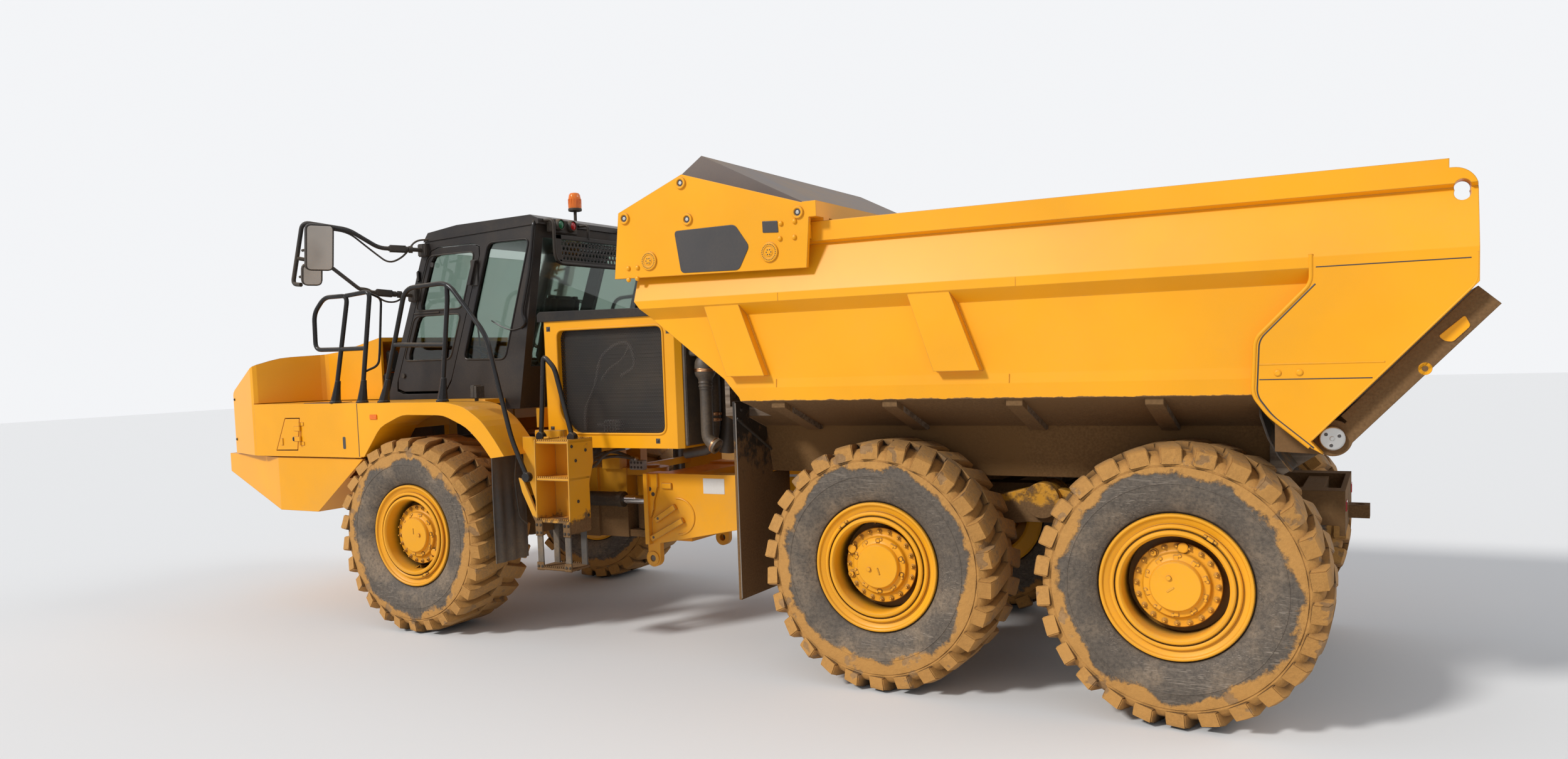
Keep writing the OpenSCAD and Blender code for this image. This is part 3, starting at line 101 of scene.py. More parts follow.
def piece(name, form, body, material, smooth=True, replaces=()):
    """An object from a bmesh, with its material and slot, that rides on a body."""
    bmesh.ops.recalc_face_normals(form, faces=form.faces)
    mesh = bpy.data.meshes.new(name)
    form.to_mesh(mesh)
    form.free()
    thing = bpy.data.objects.new(name, mesh)
    scene.collection.objects.link(thing)
    for one in material if isinstance(material, list) else [material]:
        mesh.materials.append(one)
    if smooth:
        for face in mesh.polygons:
            face.use_smooth = True
        mesh.set_sharp_from_angle(angle=FLAT_ANGLE)
    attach(thing, body)
    if replaces:
        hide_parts(*replaces)
    return thing


def add_plate(form, outline, y0, y1, place=UNMOVED, bevel=0.0, material=0):
    """A plate with an outline in x and z, between two values of y."""
    near, far = ([form.verts.new(place @ Vector((x, y, z))) for x, z in outline] for y in (y0, y1))
    faces = [form.faces.new(near), form.faces.new(far[::-1])]
    for i in range(len(outline)):
        k = (i + 1) % len(outline)
        faces.append(form.faces.new((near[i], far[i], far[k], near[k])))
    for face in faces:
        face.material_index = material
    if bevel:
        edges = list({edge for face in faces for edge in face.edges})
        bmesh.ops.bevel(form, geom=edges, offset=bevel, segments=2, affect="EDGES", clamp_overlap=True,
                        material=material)


def add_block(form, low, high, place=UNMOVED, bevel=0.0, material=0):
    """A block between its lowest and its highest corner."""
    outline = [(low[0], low[2]), (high[0], low[2]), (high[0], high[2]), (low[0], high[2])]
    add_plate(form, outline, low[1], high[1], place, bevel, material)


def full_turn(count, start=0.0):
    """Angles of points that stand evenly on a circle."""
    return [start + 2 * math.pi * k / count for k in range(count)]


def add_lathe(form, profile, steps, place=UNMOVED, material=0):
    """A turned part about the local z axis. The profile holds pairs of radius and height, and runs
    round a ring's section or from the axis back to the axis."""
    rings = []
    for r, z in profile:
        turns = full_turn(steps) if r else [0.0]
        rings.append([form.verts.new(place @ Vector((r * math.cos(t), r * math.sin(t), z))) for t in turns])
    for a, b in zip(rings, rings[1:] + rings[:1]):
        for k in range(steps):
            n = (k + 1) % steps
            corners = dict.fromkeys((a[k % len(a)], a[n % len(a)], b[n % len(b)], b[k % len(b)]))
            if len(corners) > 2:
                form.faces.new(list(corners)).material_index = material


def add_disc(form, radius, low, high, steps, place, material=0):
    """A round plate between two heights on its own axis."""
    add_lathe(form, [(0, low), (radius, low), (radius, high), (0, high)], steps, place, material)


def add_tube(form, route, radius, sides=12, material=0, caps=True):
    """A round tube along a route."""
    route = [Vector(point) for point in route]
    last = len(route) - 1
    ahead = [(route[i + 1] - route[i]).normalized() for i in range(last)]
    side = ahead[0].orthogonal().normalized()
    rings = []
    for i, point in enumerate(route):
        along = ahead[0] if i == 0 else ahead[-1] if i == last else (ahead[i - 1] + ahead[i]).normalized()
        side = (side - along * side.dot(along)).normalized()
        top = along.cross(side)
        rings.append([form.verts.new(point + radius * (side * math.cos(t) + top * math.sin(t)))
                      for t in full_turn(sides)])
    for a, b in zip(rings, rings[1:]):
        for k in range(sides):
            n = (k + 1) % sides
            form.faces.new((a[k], a[n], b[n], b[k])).material_index = material
    if caps:
        form.faces.new(rings[0][::-1]).material_index = material
        form.faces.new(rings[-1]).material_index = material


def bent(route, bend, steps=6):
    """The route with each inner corner turned into a curve that starts bend before it."""
    route = [Vector(point) for point in route]
    points = [route[0]]
    for before, corner, after in zip(route, route[1:], route[2:]):
        reach = min(bend, (before - corner).length * 0.49, (after - corner).length * 0.49)
        a = corner + (before - corner).normalized() * reach
        b = corner + (after - corner).normalized() * reach
        for k in range(steps + 1):
            t = k / steps
            points.append(a * (1 - t) ** 2 + corner * 2 * t * (1 - t) + b * t ** 2)
    points.append(route[-1])
    return points


def closed_bend(outline, bend):
    """A closed outline in x and z with rounded corners."""
    count = len(outline)
    points = []
    for i in range(count):
        trio = [Vector((outline[(i + k) % count][0], 0, outline[(i + k) % count][1])) for k in (-1, 0, 1)]
        points += bent(trio, bend)[1:-1]
    return [(p.x, p.z) for p in points]


def add_ring_bead(form, outline, y, radius):
    """A round bead all along a closed outline."""
    route = [(x, y, z) for x, z in outline]
    add_tube(form, route + [route[0]], radius, 8, caps=False)


def facing(place, direction):
    """A matrix that puts local z along a direction at a place."""
    return Matrix.Translation(Vector(place)) @ Vector(direction).to_track_quat("Z", "Y").to_matrix().to_4x4()


def on_side(side, x, y, z):
    """A matrix that puts local z outward on the left side, 1, or the right side, -1."""
    return facing((x, side * y, z), (0, side, 0))


def add_bolt(form, place, direction, radius):
    """A hexagon head on a washer."""
    at = facing(place, direction)
    head = radius * 0.85
    add_disc(form, radius * 1.35, 0, radius * 0.2, 16, at)
    add_lathe(form, [(0, 0), (radius, 0), (radius, head * 0.8), (radius * 0.86, head), (0, head)], 6, at)


print("mesh helpers are ready")

# %% [markdown]
# ## Tools for node trees
# The studio's light and every finish are trees of nodes. `node` makes one node and fills its
# inputs in the same call, and the arithmetic that comes up most often gets a short name, so that
# a finish can be read almost as a recipe.

# %% Helpers that build node trees
FLOAT = "NodeSocketFloat"
COLOUR = "NodeSocketColor"
VECTOR = "NodeSocketVector"


def set_inputs(tree, made, values):
    """Fills inputs with numbers, colours or sockets of other nodes."""
    for key, value in values.items():
        if isinstance(value, bpy.types.NodeSocket):
            tree.links.new(value, made.inputs[key])
        else:
            made.inputs[key].default_value = value


def node(tree, kind, values=None, **settings):
    """A node with its settings and inputs."""
    made = tree.nodes.new(kind)
    for key, value in settings.items():
        setattr(made, key, value)
    set_inputs(tree, made, values or {})
    return made


def maths(tree, operation, a, b=0.0, clamp=False):
    return node(tree, "ShaderNodeMath", {0: a, 1: b}, operation=operation, use_clamp=clamp).outputs[0]


def plus(tree, a, b, clamp=False):
    return maths(tree, "ADD", a, b, clamp)


def minus(tree, a, b):
    return maths(tree, "SUBTRACT", a, b)


def times(tree, a, b, clamp=False):
    return maths(tree, "MULTIPLY", a, b, clamp)


def highest(tree, a, b):
    return maths(tree, "MAXIMUM", a, b)


def ramp(tree, value, low, high):
    """0 below low, 1 above high, and a soft step between them."""
    return node(tree, "ShaderNodeMapRange", {"Value": value, "From Min": low, "From Max": high},
                interpolation_type="SMOOTHSTEP").outputs[0]


def blend_colours(tree, share, a, b):
    return node(tree, "ShaderNodeMix", {0: share, 6: a, 7: b}, data_type="RGBA").outputs[2]


def object_place(tree):
    """Where a point lies on its own object, so that a finish moves along with its piece."""
    return node(tree, "ShaderNodeTexCoord").outputs["Object"]


def along_axes(tree, vector):
    return node(tree, "ShaderNodeSeparateXYZ", {0: vector}).outputs


def mottle(tree, place, scale, detail=2.0, roughness=0.5):
    """Soft irregular patches between 0 and 1."""
    return node(tree, "ShaderNodeTexNoise", {"Vector": place, "Scale": scale, "Detail": detail,
                                             "Roughness": roughness}).outputs["Fac"]


def new_group(name, inputs, outputs):
    """An empty node group. Inputs are numbers by name and default, outputs are kinds by name."""
    group = bpy.data.node_groups.new(name, "ShaderNodeTree")
    for label, default in inputs.items():
        group.interface.new_socket(label, in_out="INPUT", socket_type=FLOAT).default_value = default
    for label, kind in outputs.items():
        group.interface.new_socket(label, in_out="OUTPUT", socket_type=kind)
    return group, group.nodes.new("NodeGroupInput").outputs, group.nodes.new("NodeGroupOutput")


def use_group(tree, group, values=None):
    return node(tree, "ShaderNodeGroup", values, node_tree=group).outputs


print("node helpers are ready")

# %% [markdown]
# ## Light
# The sun of the photograph stands in front of the truck on its left side, about forty degrees up.
# One large soft lamp takes its place, and a pale world fills the shade, as in a studio with white
# walls. Rays that reach the camera, straight or by way of metal and glass, see a plain pale
# background.

# %% Light the studio
KEY_DIRECTION = Vector((0.42, 0.74, 0.62))
KEY_STRENGTH = 2.5
KEY_SOFTNESS = math.radians(9)
RIM_DIRECTION = Vector((-0.8, -0.3, 0.6))
RIM_STRENGTH = 0.5
RIM_SOFTNESS = math.radians(25)
FILL_COLOUR = (0.86, 0.91, 1.0, 1)
FILL_STRENGTH = 0.6
BACKDROP = (0.90, 0.91, 0.93, 1)


def add_sun(name, direction, strength, softness):
    lamp = bpy.data.lights.new(name, "SUN")
    lamp.energy = strength
    lamp.angle = softness
    thing = bpy.data.objects.new(name, lamp)
    thing.rotation_euler = direction.to_track_quat("Z", "Y").to_euler()
    scene.collection.objects.link(thing)


add_sun("key_lamp", KEY_DIRECTION, KEY_STRENGTH, KEY_SOFTNESS)
add_sun("rim_lamp", RIM_DIRECTION, RIM_STRENGTH, RIM_SOFTNESS)

scene.world = bpy.data.worlds.new("studio")
scene.world.use_nodes = True
tree = scene.world.node_tree
tree.nodes.clear()
rays = node(tree, "ShaderNodeLightPath").outputs
in_view = highest(tree, rays["Is Camera Ray"], rays["Is Glossy Ray"])
in_view = highest(tree, in_view, rays["Is Transmission Ray"])
fill = node(tree, "ShaderNodeBackground", {"Color": FILL_COLOUR, "Strength": FILL_STRENGTH}).outputs[0]
seen = node(tree, "ShaderNodeBackground", {"Color": BACKDROP, "Strength": 1.0}).outputs[0]
mixed = node(tree, "ShaderNodeMixShader", {"Fac": in_view, 1: fill, 2: seen}).outputs[0]
node(tree, "ShaderNodeOutputWorld", {"Surface": mixed})
scene.view_settings.view_transform = "Standard"
print("lamps:", len(bpy.data.lights))

# %% [markdown]
# ## Shader groups
# Paint, rubber and steel on this truck share a few effects: edges that have lost some paint, pale
# dust that lies on what looks up and hangs low on the machine, a fine skin, and scratches. Each one
# is a node group with its own inputs, so every material places it with its own values. Object
# coordinates drive them, because those stay with a piece when a joint moves it.

# %% Worn edges
def make_edge_group():
    """Where an edge is sharp, the rounded normal leaves the true one, and paint wears thin."""
    group, given, gives = new_group("worn edges", {"Radius": 0.006, "Wear": 0.5, "Break Up": 30.0},
                                    {"Edge": FLOAT, "Rounded": VECTOR})
    rounded = node(group, "ShaderNodeBevel", {"Radius": given["Radius"]}, samples=4).outputs[0]
    true_normal = node(group, "ShaderNodeNewGeometry").outputs["Normal"]
    same = node(group, "ShaderNodeVectorMath", {0: rounded, 1: true_normal}, operation="DOT_PRODUCT")
    away = minus(group, 1.0, same.outputs["Value"])
    grain = mottle(group, object_place(group), given["Break Up"], 5.0)
    bite = times(group, away, times(group, grain, 9.0))
    worn = times(group, ramp(group, bite, 0.25, 0.75), given["Wear"], clamp=True)
    set_inputs(group, gives, {"Edge": worn, "Rounded": rounded})
    return group


EDGES = make_edge_group()
print("group:", EDGES.name)


# %% Dust
def make_dust_group():
    """Dust gathers on what looks up and near the ground, in clouds broken by fine specks."""
    group, given, gives = new_group(
        "dust", {"Amount": 0.4, "Ground Height": 1.6, "Ground Share": 0.6, "Top Share": 0.3}, {"Mask": FLOAT})
    place = object_place(group)
    normal = node(group, "ShaderNodeNewGeometry").outputs["Normal"]
    upward = ramp(group, along_axes(group, normal)["Z"], 0.2, 0.95)
    low = minus(group, 1.0, ramp(group, along_axes(group, place)["Z"], 0.1, given["Ground Height"]))
    clouds = mottle(group, place, 1.9, 6.0, 0.62)
    specks = mottle(group, place, 60.0, 3.0, 0.7)
    ground = times(group, low, given["Ground Share"])
    top = times(group, upward, given["Top Share"])
    base = plus(group, plus(group, ground, top), given["Amount"])
    cloudy = times(group, base, ramp(group, clouds, 0.25, 0.75))
    speckled = times(group, cloudy, ramp(group, specks, 0.15, 0.7))
    mask = plus(group, times(group, speckled, 0.8), times(group, cloudy, 0.35), clamp=True)
    set_inputs(group, gives, {"Mask": mask})
    return group


DUST = make_dust_group()
print("group:", DUST.name)


# %% Scratches and skin
def make_scratch_group():
    """Thin straight lines in three directions, broken by a soft noise."""
    group, given, gives = new_group("scratches", {"Scale": 6.0, "Amount": 0.5}, {"Mask": FLOAT})
    place = object_place(group)
    lines = []
    for turn in (0.5, -0.9, 1.35):
        turned = node(group, "ShaderNodeMapping", {"Vector": place, "Rotation": (turn, turn * 0.7, turn),
                                                   "Scale": (1.0, 30.0, 30.0)}).outputs[0]
        lines.append(ramp(group, mottle(group, turned, given["Scale"]), 0.66, 0.70))
    most = highest(group, highest(group, lines[0], lines[1]), lines[2])
    shown = times(group, most, ramp(group, mottle(group, place, 3.0), 0.35, 0.65))
    set_inputs(group, gives, {"Mask": times(group, shown, given["Amount"], clamp=True)})
    return group


def make_skin_group():
    """A fine bumpy skin, such as sprayed enamel, cast iron or moulded plastic has."""
    group, given, gives = new_group("skin", {"Scale": 300.0, "Waves": 4.0, "Wave Share": 0.5},
                                    {"Height": FLOAT})
    place = object_place(group)
    waves = times(group, mottle(group, place, given["Waves"]), given["Wave Share"])
    set_inputs(group, gives, {"Height": plus(group, mottle(group, place, given["Scale"]), waves)})
    return group


SCRATCHES = make_scratch_group()
SKIN = make_skin_group()
print("shader groups:", len(bpy.data.node_groups))

# %% [markdown]
# ## Finishes
# The yellow enamel is what one sees first: warm, half glossy, cleaner on the body's side and dusty
# below. Black paint, moulded plastic, bright steel and dull grey steel follow the same plan with
# other values, so one function makes every painted or moulded finish.

# %% A function for coated surfaces
DUST_TAN = (0.42, 0.27, 0.13, 1)
BARE_STEEL = (0.16, 0.13, 0.11, 1)
# the colour of painted shade in deep hollows
PAINTED_HOLLOW_SHADE = (0.035, 0.018, 0.008, 1)


def new_material(name):
    """A material with its tree, its shader and the place on its object."""
    material = bpy.data.materials.new(name)
    material.use_nodes = True
    tree = material.node_tree
    return material, tree, tree.nodes["Principled BSDF"], object_place(tree)


def shaded(colour, share):
    return tuple(min(1, c * share) for c in colour) + (1,)


def open_share(tree, reach, samples):
    """How free a point stands from other faces within a reach."""
    return node(tree, "ShaderNodeAmbientOcclusion", {"Distance": reach}, samples=samples).outputs["AO"]


def bumped(tree, height, strength, distance, normal=None):
    """The normal of a surface that rises and falls by a height."""
    values = {"Height": height, "Strength": strength, "Distance": distance}
    return node(tree, "ShaderNodeBump", values if normal is None else values | {"Normal": normal}).outputs[0]


def coated(name, colour, roughness, dust=0.15, ground=0.5, top=0.25, wear=0.5, worn_colour=BARE_STEEL,
           metallic=0.0, skin_scale=260.0, skin_depth=0.15, shade=0.12, coat=0.0, edge_radius=0.006,
           hollow_shade_reach=0.0, specular=0.5):
    """Paint, plastic or bare metal with dust, worn edges and a fine skin."""
    material, tree, shader, place = new_material(name)
    drift = mottle(tree, place, 1.2, 5.0)
    darker, lighter = shaded(colour, 1 - shade), shaded(colour, 1 + shade)
    tone = blend_colours(tree, ramp(tree, drift, 0.3, 0.7), darker, lighter)
    edge = use_group(tree, EDGES, {"Radius": edge_radius, "Wear": wear})
    tone = blend_colours(tree, edge["Edge"], tone, worn_colour)
    film = use_group(tree, DUST, {"Amount": dust, "Ground Share": ground, "Top Share": top})["Mask"]
    tone = blend_colours(tree, film, tone, DUST_TAN)
    if hollow_shade_reach:
        # painted shade darkens what lies deep between other faces
        open_sky = ramp(tree, open_share(tree, hollow_shade_reach, 6), 0.15, 0.55)
        tone = blend_colours(tree, open_sky, PAINTED_HOLLOW_SHADE, tone)
    rough = plus(tree, times(tree, drift, 0.14), roughness - 0.07)
    rough = plus(tree, rough, times(tree, film, 0.45), clamp=True)
    height = use_group(tree, SKIN, {"Scale": skin_scale})["Height"]
    if coat:
        set_inputs(tree, shader, {"Coat Weight": coat, "Coat Roughness": 0.12})
    set_inputs(tree, shader, {
        "Base Color": tone, "Roughness": rough, "Metallic": metallic, "Specular IOR Level": specular,
        "Normal": bumped(tree, height, skin_depth, 0.001, edge["Rounded"])})
    return material


print("coated finishes start from", len(bpy.data.node_groups), "groups")


# %% Paints, plastics and metals
YELLOW = (0.86, 0.36, 0.003)
yellow_paint = coated("yellow_enamel", YELLOW, 0.36, dust=0.05, coat=0.08, shade=0.06, specular=0.28)
# the rim's deep well and the gaps round its hub get painted shade
rim_yellow = coated("rim_enamel", (0.84, 0.36, 0.006), 0.40, dust=0.08, ground=0.12, shade=0.08,
                    hollow_shade_reach=0.15, specular=0.28)
black_paint = coated("black_enamel", (0.014, 0.013, 0.013), 0.42, dust=0.07, ground=0.4, top=0.12,
                     worn_colour=(0.12, 0.11, 0.10, 1), wear=0.3, specular=0.25)
cab_black = coated("cab_black", (0.020, 0.018, 0.018), 0.32, dust=0.06, ground=0.2, top=0.10, wear=0.12,
                   worn_colour=(0.1, 0.1, 0.1, 1), specular=0.3)
rail_black = coated("rail_black", (0.009, 0.009, 0.010), 0.28, dust=0.03, wear=0.15,
                    worn_colour=(0.2, 0.19, 0.18, 1), specular=0.3)
moulded_black = coated("moulded_black", (0.020, 0.019, 0.019), 0.55, dust=0.12, wear=0.1, skin_scale=600,
                       skin_depth=0.4, specular=0.3)
chrome = coated("rod_chrome", (0.72, 0.72, 0.72), 0.12, dust=0.05, wear=0.0, metallic=1.0, shade=0.03)
bright_steel = coated("bright_steel", (0.5, 0.49, 0.47), 0.32, dust=0.12, wear=0.0, metallic=1.0)
cover_grey = coated("cover_grey", (0.105, 0.085, 0.078), 0.55, dust=0.12, wear=0.25)
iron_grey = coated("engine_iron", (0.10, 0.10, 0.10), 0.6, dust=0.4, ground=0.6, metallic=0.3)
seal_rubber = coated("seal_rubber", (0.014, 0.014, 0.014), 0.7, dust=0.12, wear=0.0)
print("materials so far:", len(bpy.data.materials))

# %% [markdown]
# ## Tyres
# A hauler's tyre has a smooth side with a fine ring or two, a rounded shoulder, and two rows of tall
# lugs that reach down over it. One lug is built from stations across its width, its edges are
# bevelled, and copies go round. The radius of every point is stored on the mesh, so the material
# knows where the side ends: clean scratched rubber inside, dried mud outside.

# %% The rubber with its mud
def make_tyre_material():
    material, tree, shader, place = new_material("muddy_tyre")
    radius = node(tree, "ShaderNodeAttribute", attribute_name="wheel_radius").outputs["Fac"]
    broad = mottle(tree, place, 2.6, 7.0, 0.6)
    fine = mottle(tree, place, 45.0, 6.0, 0.75)
    rubber = blend_colours(tree, ramp(tree, fine, 0.25, 0.75), (0.052, 0.040, 0.029, 1),
                           (0.130, 0.100, 0.072, 1))
    scratches = highest(tree, use_group(tree, SCRATCHES, {"Scale": 5.0, "Amount": 0.8})["Mask"],
                        use_group(tree, SCRATCHES, {"Scale": 11.0, "Amount": 0.7})["Mask"])
    rubber = blend_colours(tree, scratches, rubber, (0.26, 0.21, 0.16, 1))
    # a film of dried dust, heavier in patches
    film = times(tree, ramp(tree, broad, 0.46, 0.70), ramp(tree, fine, 0.2, 0.62))
    rubber = blend_colours(tree, times(tree, film, 0.55), rubber, (0.36, 0.25, 0.15, 1))
    # mud covers the shoulder and tread, with a ragged inner edge, and has worn through in places
    reach = plus(tree, radius, times(tree, minus(tree, broad, 0.5), 0.34))
    ragged = plus(tree, reach, times(tree, minus(tree, fine, 0.5), 0.05))
    worn_through = ramp(tree, mottle(tree, place, 7.0, 8.0), 0.60, 0.64)
    shoulder = times(tree, ramp(tree, ragged, 0.615, 0.640), minus(tree, 1.0, times(tree, worn_through, 0.5)))
    mud = blend_colours(tree, fine, (0.24, 0.110, 0.022, 1), (0.66, 0.330, 0.085, 1))
    mud = blend_colours(tree, ramp(tree, broad, 0.35, 0.75), mud, (0.50, 0.245, 0.058, 1))
    colour = blend_colours(tree, shoulder, rubber, mud)
    # the lugs' tops are rubbed, and painted shade darkens what faces into the grooves
    rubbed = times(tree, ramp(tree, radius, 0.780, 0.797), ramp(tree, fine, 0.35, 0.6))
    colour = blend_colours(tree, times(tree, rubbed, 0.55), colour, (0.17, 0.11, 0.055, 1))
    open_sky = ramp(tree, open_share(tree, 0.08, 4), 0.15, 0.8)
    colour = blend_colours(tree, open_sky, (0.035, 0.022, 0.012, 1), colour)
    clods = times(tree, mottle(tree, place, 26.0, 8.0, 0.7), shoulder)
    height = plus(tree, clods, times(tree, fine, 0.25))
    set_inputs(tree, shader, {
        "Base Color": colour, "Roughness": plus(tree, times(tree, shoulder, 0.15), 0.72),
        "Normal": bumped(tree, height, 0.7, 0.012)})
    return material


muddy_tyre = make_tyre_material()
print("tyre finish:", muddy_tyre.name)

# %% The carcass and one lug
TYRE_R = 0.800
TYRE_STEPS = 182
HALF_W = 0.300
RIM_R = 0.418
BEAD_R = 0.330
BEAD_A = 0.230
LUG_H = 0.040
LUG_W = 0.118
LUG_SLANT = math.radians(16)
LUG_COUNT = 26
LUG_BEVEL = 0.006
LUG_TOP_R = TYRE_R - 0.0015
WEAR_DEPTH = 0.0025
WEAR_SCALE = 14
CARCASS_R = TYRE_R - LUG_H

# radius, distance from the tyre's middle, and whether the lug narrows there
LUG_OUTLINE = [
    (CARCASS_R - 0.012, -0.035, False), (TYRE_R, -0.035, True), (TYRE_R, HALF_W - 0.072, True),
    (TYRE_R - 0.022, HALF_W - 0.010, False), (CARCASS_R - 0.062, HALF_W + 0.003, False),
    (CARCASS_R - 0.062, HALF_W - 0.040, False), (CARCASS_R - 0.012, HALF_W - 0.090, False),
]


def smooth_profile(points, times_over):
    """Cuts the corners of an open profile, as a plasterer's knife does."""
    for _ in range(times_over):
        cut = [points[0]]
        for a, b in zip(points, points[1:]):
            cut.append((a[0] * 0.75 + b[0] * 0.25, a[1] * 0.75 + b[1] * 0.25))
            cut.append((a[0] * 0.25 + b[0] * 0.75, a[1] * 0.25 + b[1] * 0.75))
        points = cut + [points[-1]]
    return points


def tyre_profile():
    """Radius and distance from the middle, round the whole section."""
    side = [
        (BEAD_R, BEAD_A), (RIM_R + 0.004, BEAD_A), (RIM_R + 0.006, 0.246), (RIM_R + 0.020, 0.258),
        (0.470, 0.279), (0.520, 0.293), (0.560, 0.298),
    ]
    rings = [
        (0.585, 0.3000), (0.588, 0.3030), (0.592, 0.3030), (0.595, 0.3000),
        (0.660, 0.2965), (0.681, 0.2935), (0.684, 0.2880), (0.690, 0.2880), (0.694, 0.2900),
    ]
    shoulder = smooth_profile([(0.700, 0.288), (0.730, 0.270), (0.750, 0.238), (0.760, 0.170)], 2)
    half = smooth_profile(side, 1) + rings + shoulder
    return half + [(r, -a) for r, a in reversed(half)]


def add_lug(form, side, turn, seed):
    """One lug with bevelled edges and uneven wear, on one half of the tread."""
    spin = Matrix.Rotation(turn, 4, "Z")
    lean = (Matrix.Translation((0, 0, side * HALF_W)) @ Matrix.Rotation(side * LUG_SLANT, 4, "X")
            @ Matrix.Translation((0, 0, -side * HALF_W)))
    rows = [[form.verts.new((r, share * LUG_W * (0.90 if narrows else 1.0), side * a))
             for r, a, narrows in LUG_OUTLINE] for share in (-0.5, -0.25, 0.0, 0.25, 0.5)]
    count = len(LUG_OUTLINE)
    caps = [form.faces.new(rows[0]), form.faces.new(rows[-1][::-1])]
    walls = [form.faces.new((a[i], b[i], b[(i + 1) % count], a[(i + 1) % count]))
             for a, b in zip(rows, rows[1:]) for i in range(count)]
    bent_edges = {e for f in walls for e in f.edges if len(e.link_faces) == 2 and e.calc_face_angle(0) > 0.3}
    bevelled = bmesh.ops.bevel(form, geom=list({e for f in caps for e in f.edges} | bent_edges),
                               offset=LUG_BEVEL, segments=2, affect="EDGES", clamp_overlap=True)
    verts = {v for f in caps + walls if f.is_valid for v in f.verts}
    verts.update(v for v in bevelled["verts"] if v.is_valid)
    for v in verts:
        v.co = lean @ v.co
        flat = math.hypot(v.co.x, v.co.y)
        if flat > LUG_TOP_R:
            v.co.x *= LUG_TOP_R / flat
            v.co.y *= LUG_TOP_R / flat
        wear = noise.noise(v.co * WEAR_SCALE + Vector((seed, 0, 0))) * WEAR_DEPTH
        v.co.x -= abs(wear)
        v.co.z += wear * 0.5
        v.co = spin @ v.co


def find_wheels():
    """Each wheel's name, the x of its axle and the matrix that lays a form's z axis on the axle."""
    found = []
    for end in ("front", "centre", "rear"):
        low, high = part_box(f"tyre_{end}_left")
        mirror_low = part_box(f"tyre_{end}_right")[0]
        centre_x, axle_z = (low.x + high.x) / 2, (low.z + high.z) / 2
        track = (low.y + high.y) / 2 - (mirror_low.y + (high.y - low.y) / 2)
        for side_name, side in (("left", 1), ("right", -1)):
            lay = (Matrix.Translation((centre_x, side * track / 2, axle_z))
                   @ Matrix.Rotation(-side * math.pi / 2, 4, "X"))
            found.append((f"{end}_{side_name}", centre_x, lay))
    return found


def make_tyre(name, lay):
    """A tyre in its own frame, axis along z, then laid at its axle."""
    form = bmesh.new()
    add_lathe(form, tyre_profile(), TYRE_STEPS)
    pitch = 2 * math.pi / LUG_COUNT
    for side in (-1, 1):
        for i in range(LUG_COUNT):
            add_lug(form, side, (i + (side + 1) / 4) * pitch, i * 3.1 + side)
    layer = form.verts.layers.float.new("wheel_radius")
    for v in form.verts:
        v[layer] = math.hypot(v.co.x, v.co.y)
    form.transform(lay)
    return piece(f"tyre_{name}_lugged", form, f"wheel_{name}", muddy_tyre,
                 replaces=[f"tyre_{name}"])


WHEELS = find_wheels()
tyres = [make_tyre(name, lay) for name, _, lay in WHEELS]
print("triangles in one tyre:", sum(len(p.vertices) - 2 for p in tyres[0].data.polygons))

# %% [markdown]
# ## Rims
# Each rim is a stack of turned rings: the flange that holds the tyre, a gutter, the split lock ring,
# the deep well and the planetary hub with its two circles of bolts. The profile is turned once, and
# bolts, a valve and the lock ring's key give the eye its scale.

# %% Turned profiles of rim and hub
RIM_STEPS = 96
DISC_A = 0.060
FLANGE_A = 0.165
HUB_FACE = 0.228
UP = (0, 0, 1)
RIM_PROFILE = [
    (BEAD_R, BEAD_A), (RIM_R, BEAD_A), (RIM_R, 0.251), (0.413, 0.260), (0.404, 0.262), (0.397, 0.258),
    (0.392, 0.248), (0.366, 0.234), (0.358, 0.234), (0.356, 0.250), (0.350, 0.257), (0.340, 0.258),
    (0.333, 0.253), (0.331, 0.240), (0.325, 0.240), (0.322, 0.258), (0.316, 0.264), (0.302, 0.266),
    (0.293, 0.258), (0.288, 0.245), (0.288, DISC_A),
    (0.150, DISC_A), (0.150, DISC_A - 0.030), (0.288, DISC_A - 0.030), (0.288, -0.238),
    (0.310, -0.256), (0.400, -0.262), (RIM_R, -0.252), (RIM_R, -BEAD_A), (BEAD_R, -BEAD_A),
]
HUB_PROFILE = [
    (0.0805, -0.160), (0.180, -0.160), (0.185, -0.155), (0.185, -0.050), (0.150, -0.040),
    (0.150, DISC_A), (0.205, DISC_A), (0.210, FLANGE_A - 0.040), (0.238, FLANGE_A - 0.024),
    (0.243, FLANGE_A - 0.018), (0.243, FLANGE_A - 0.004), (0.239, FLANGE_A), (0.200, FLANGE_A),
    (0.192, FLANGE_A + 0.004), (0.186, FLANGE_A + 0.010), (0.183, 0.188), (0.178, 0.193), (0.158, 0.196),
    (0.146, 0.202), (0.141, 0.222), (0.136, HUB_FACE),
    (0.060, HUB_FACE + 0.001), (0.0, HUB_FACE + 0.001), (0.0, 0.040), (0.0805, 0.040),
]
# turn, width, and inner and outer radius of the lock ring's key and its two ears
LOCK_KEY = [(0.35, 0.040, 0.330, 0.352), (0.35 - 0.09, 0.020, 0.336, 0.350),
            (0.35 + 0.09, 0.020, 0.336, 0.350)]


def around(count, radius, height, start=0.0):
    """Places on a circle about the local z axis."""
    return [(radius * math.cos(t), radius * math.sin(t), height) for t in full_turn(count, start)]


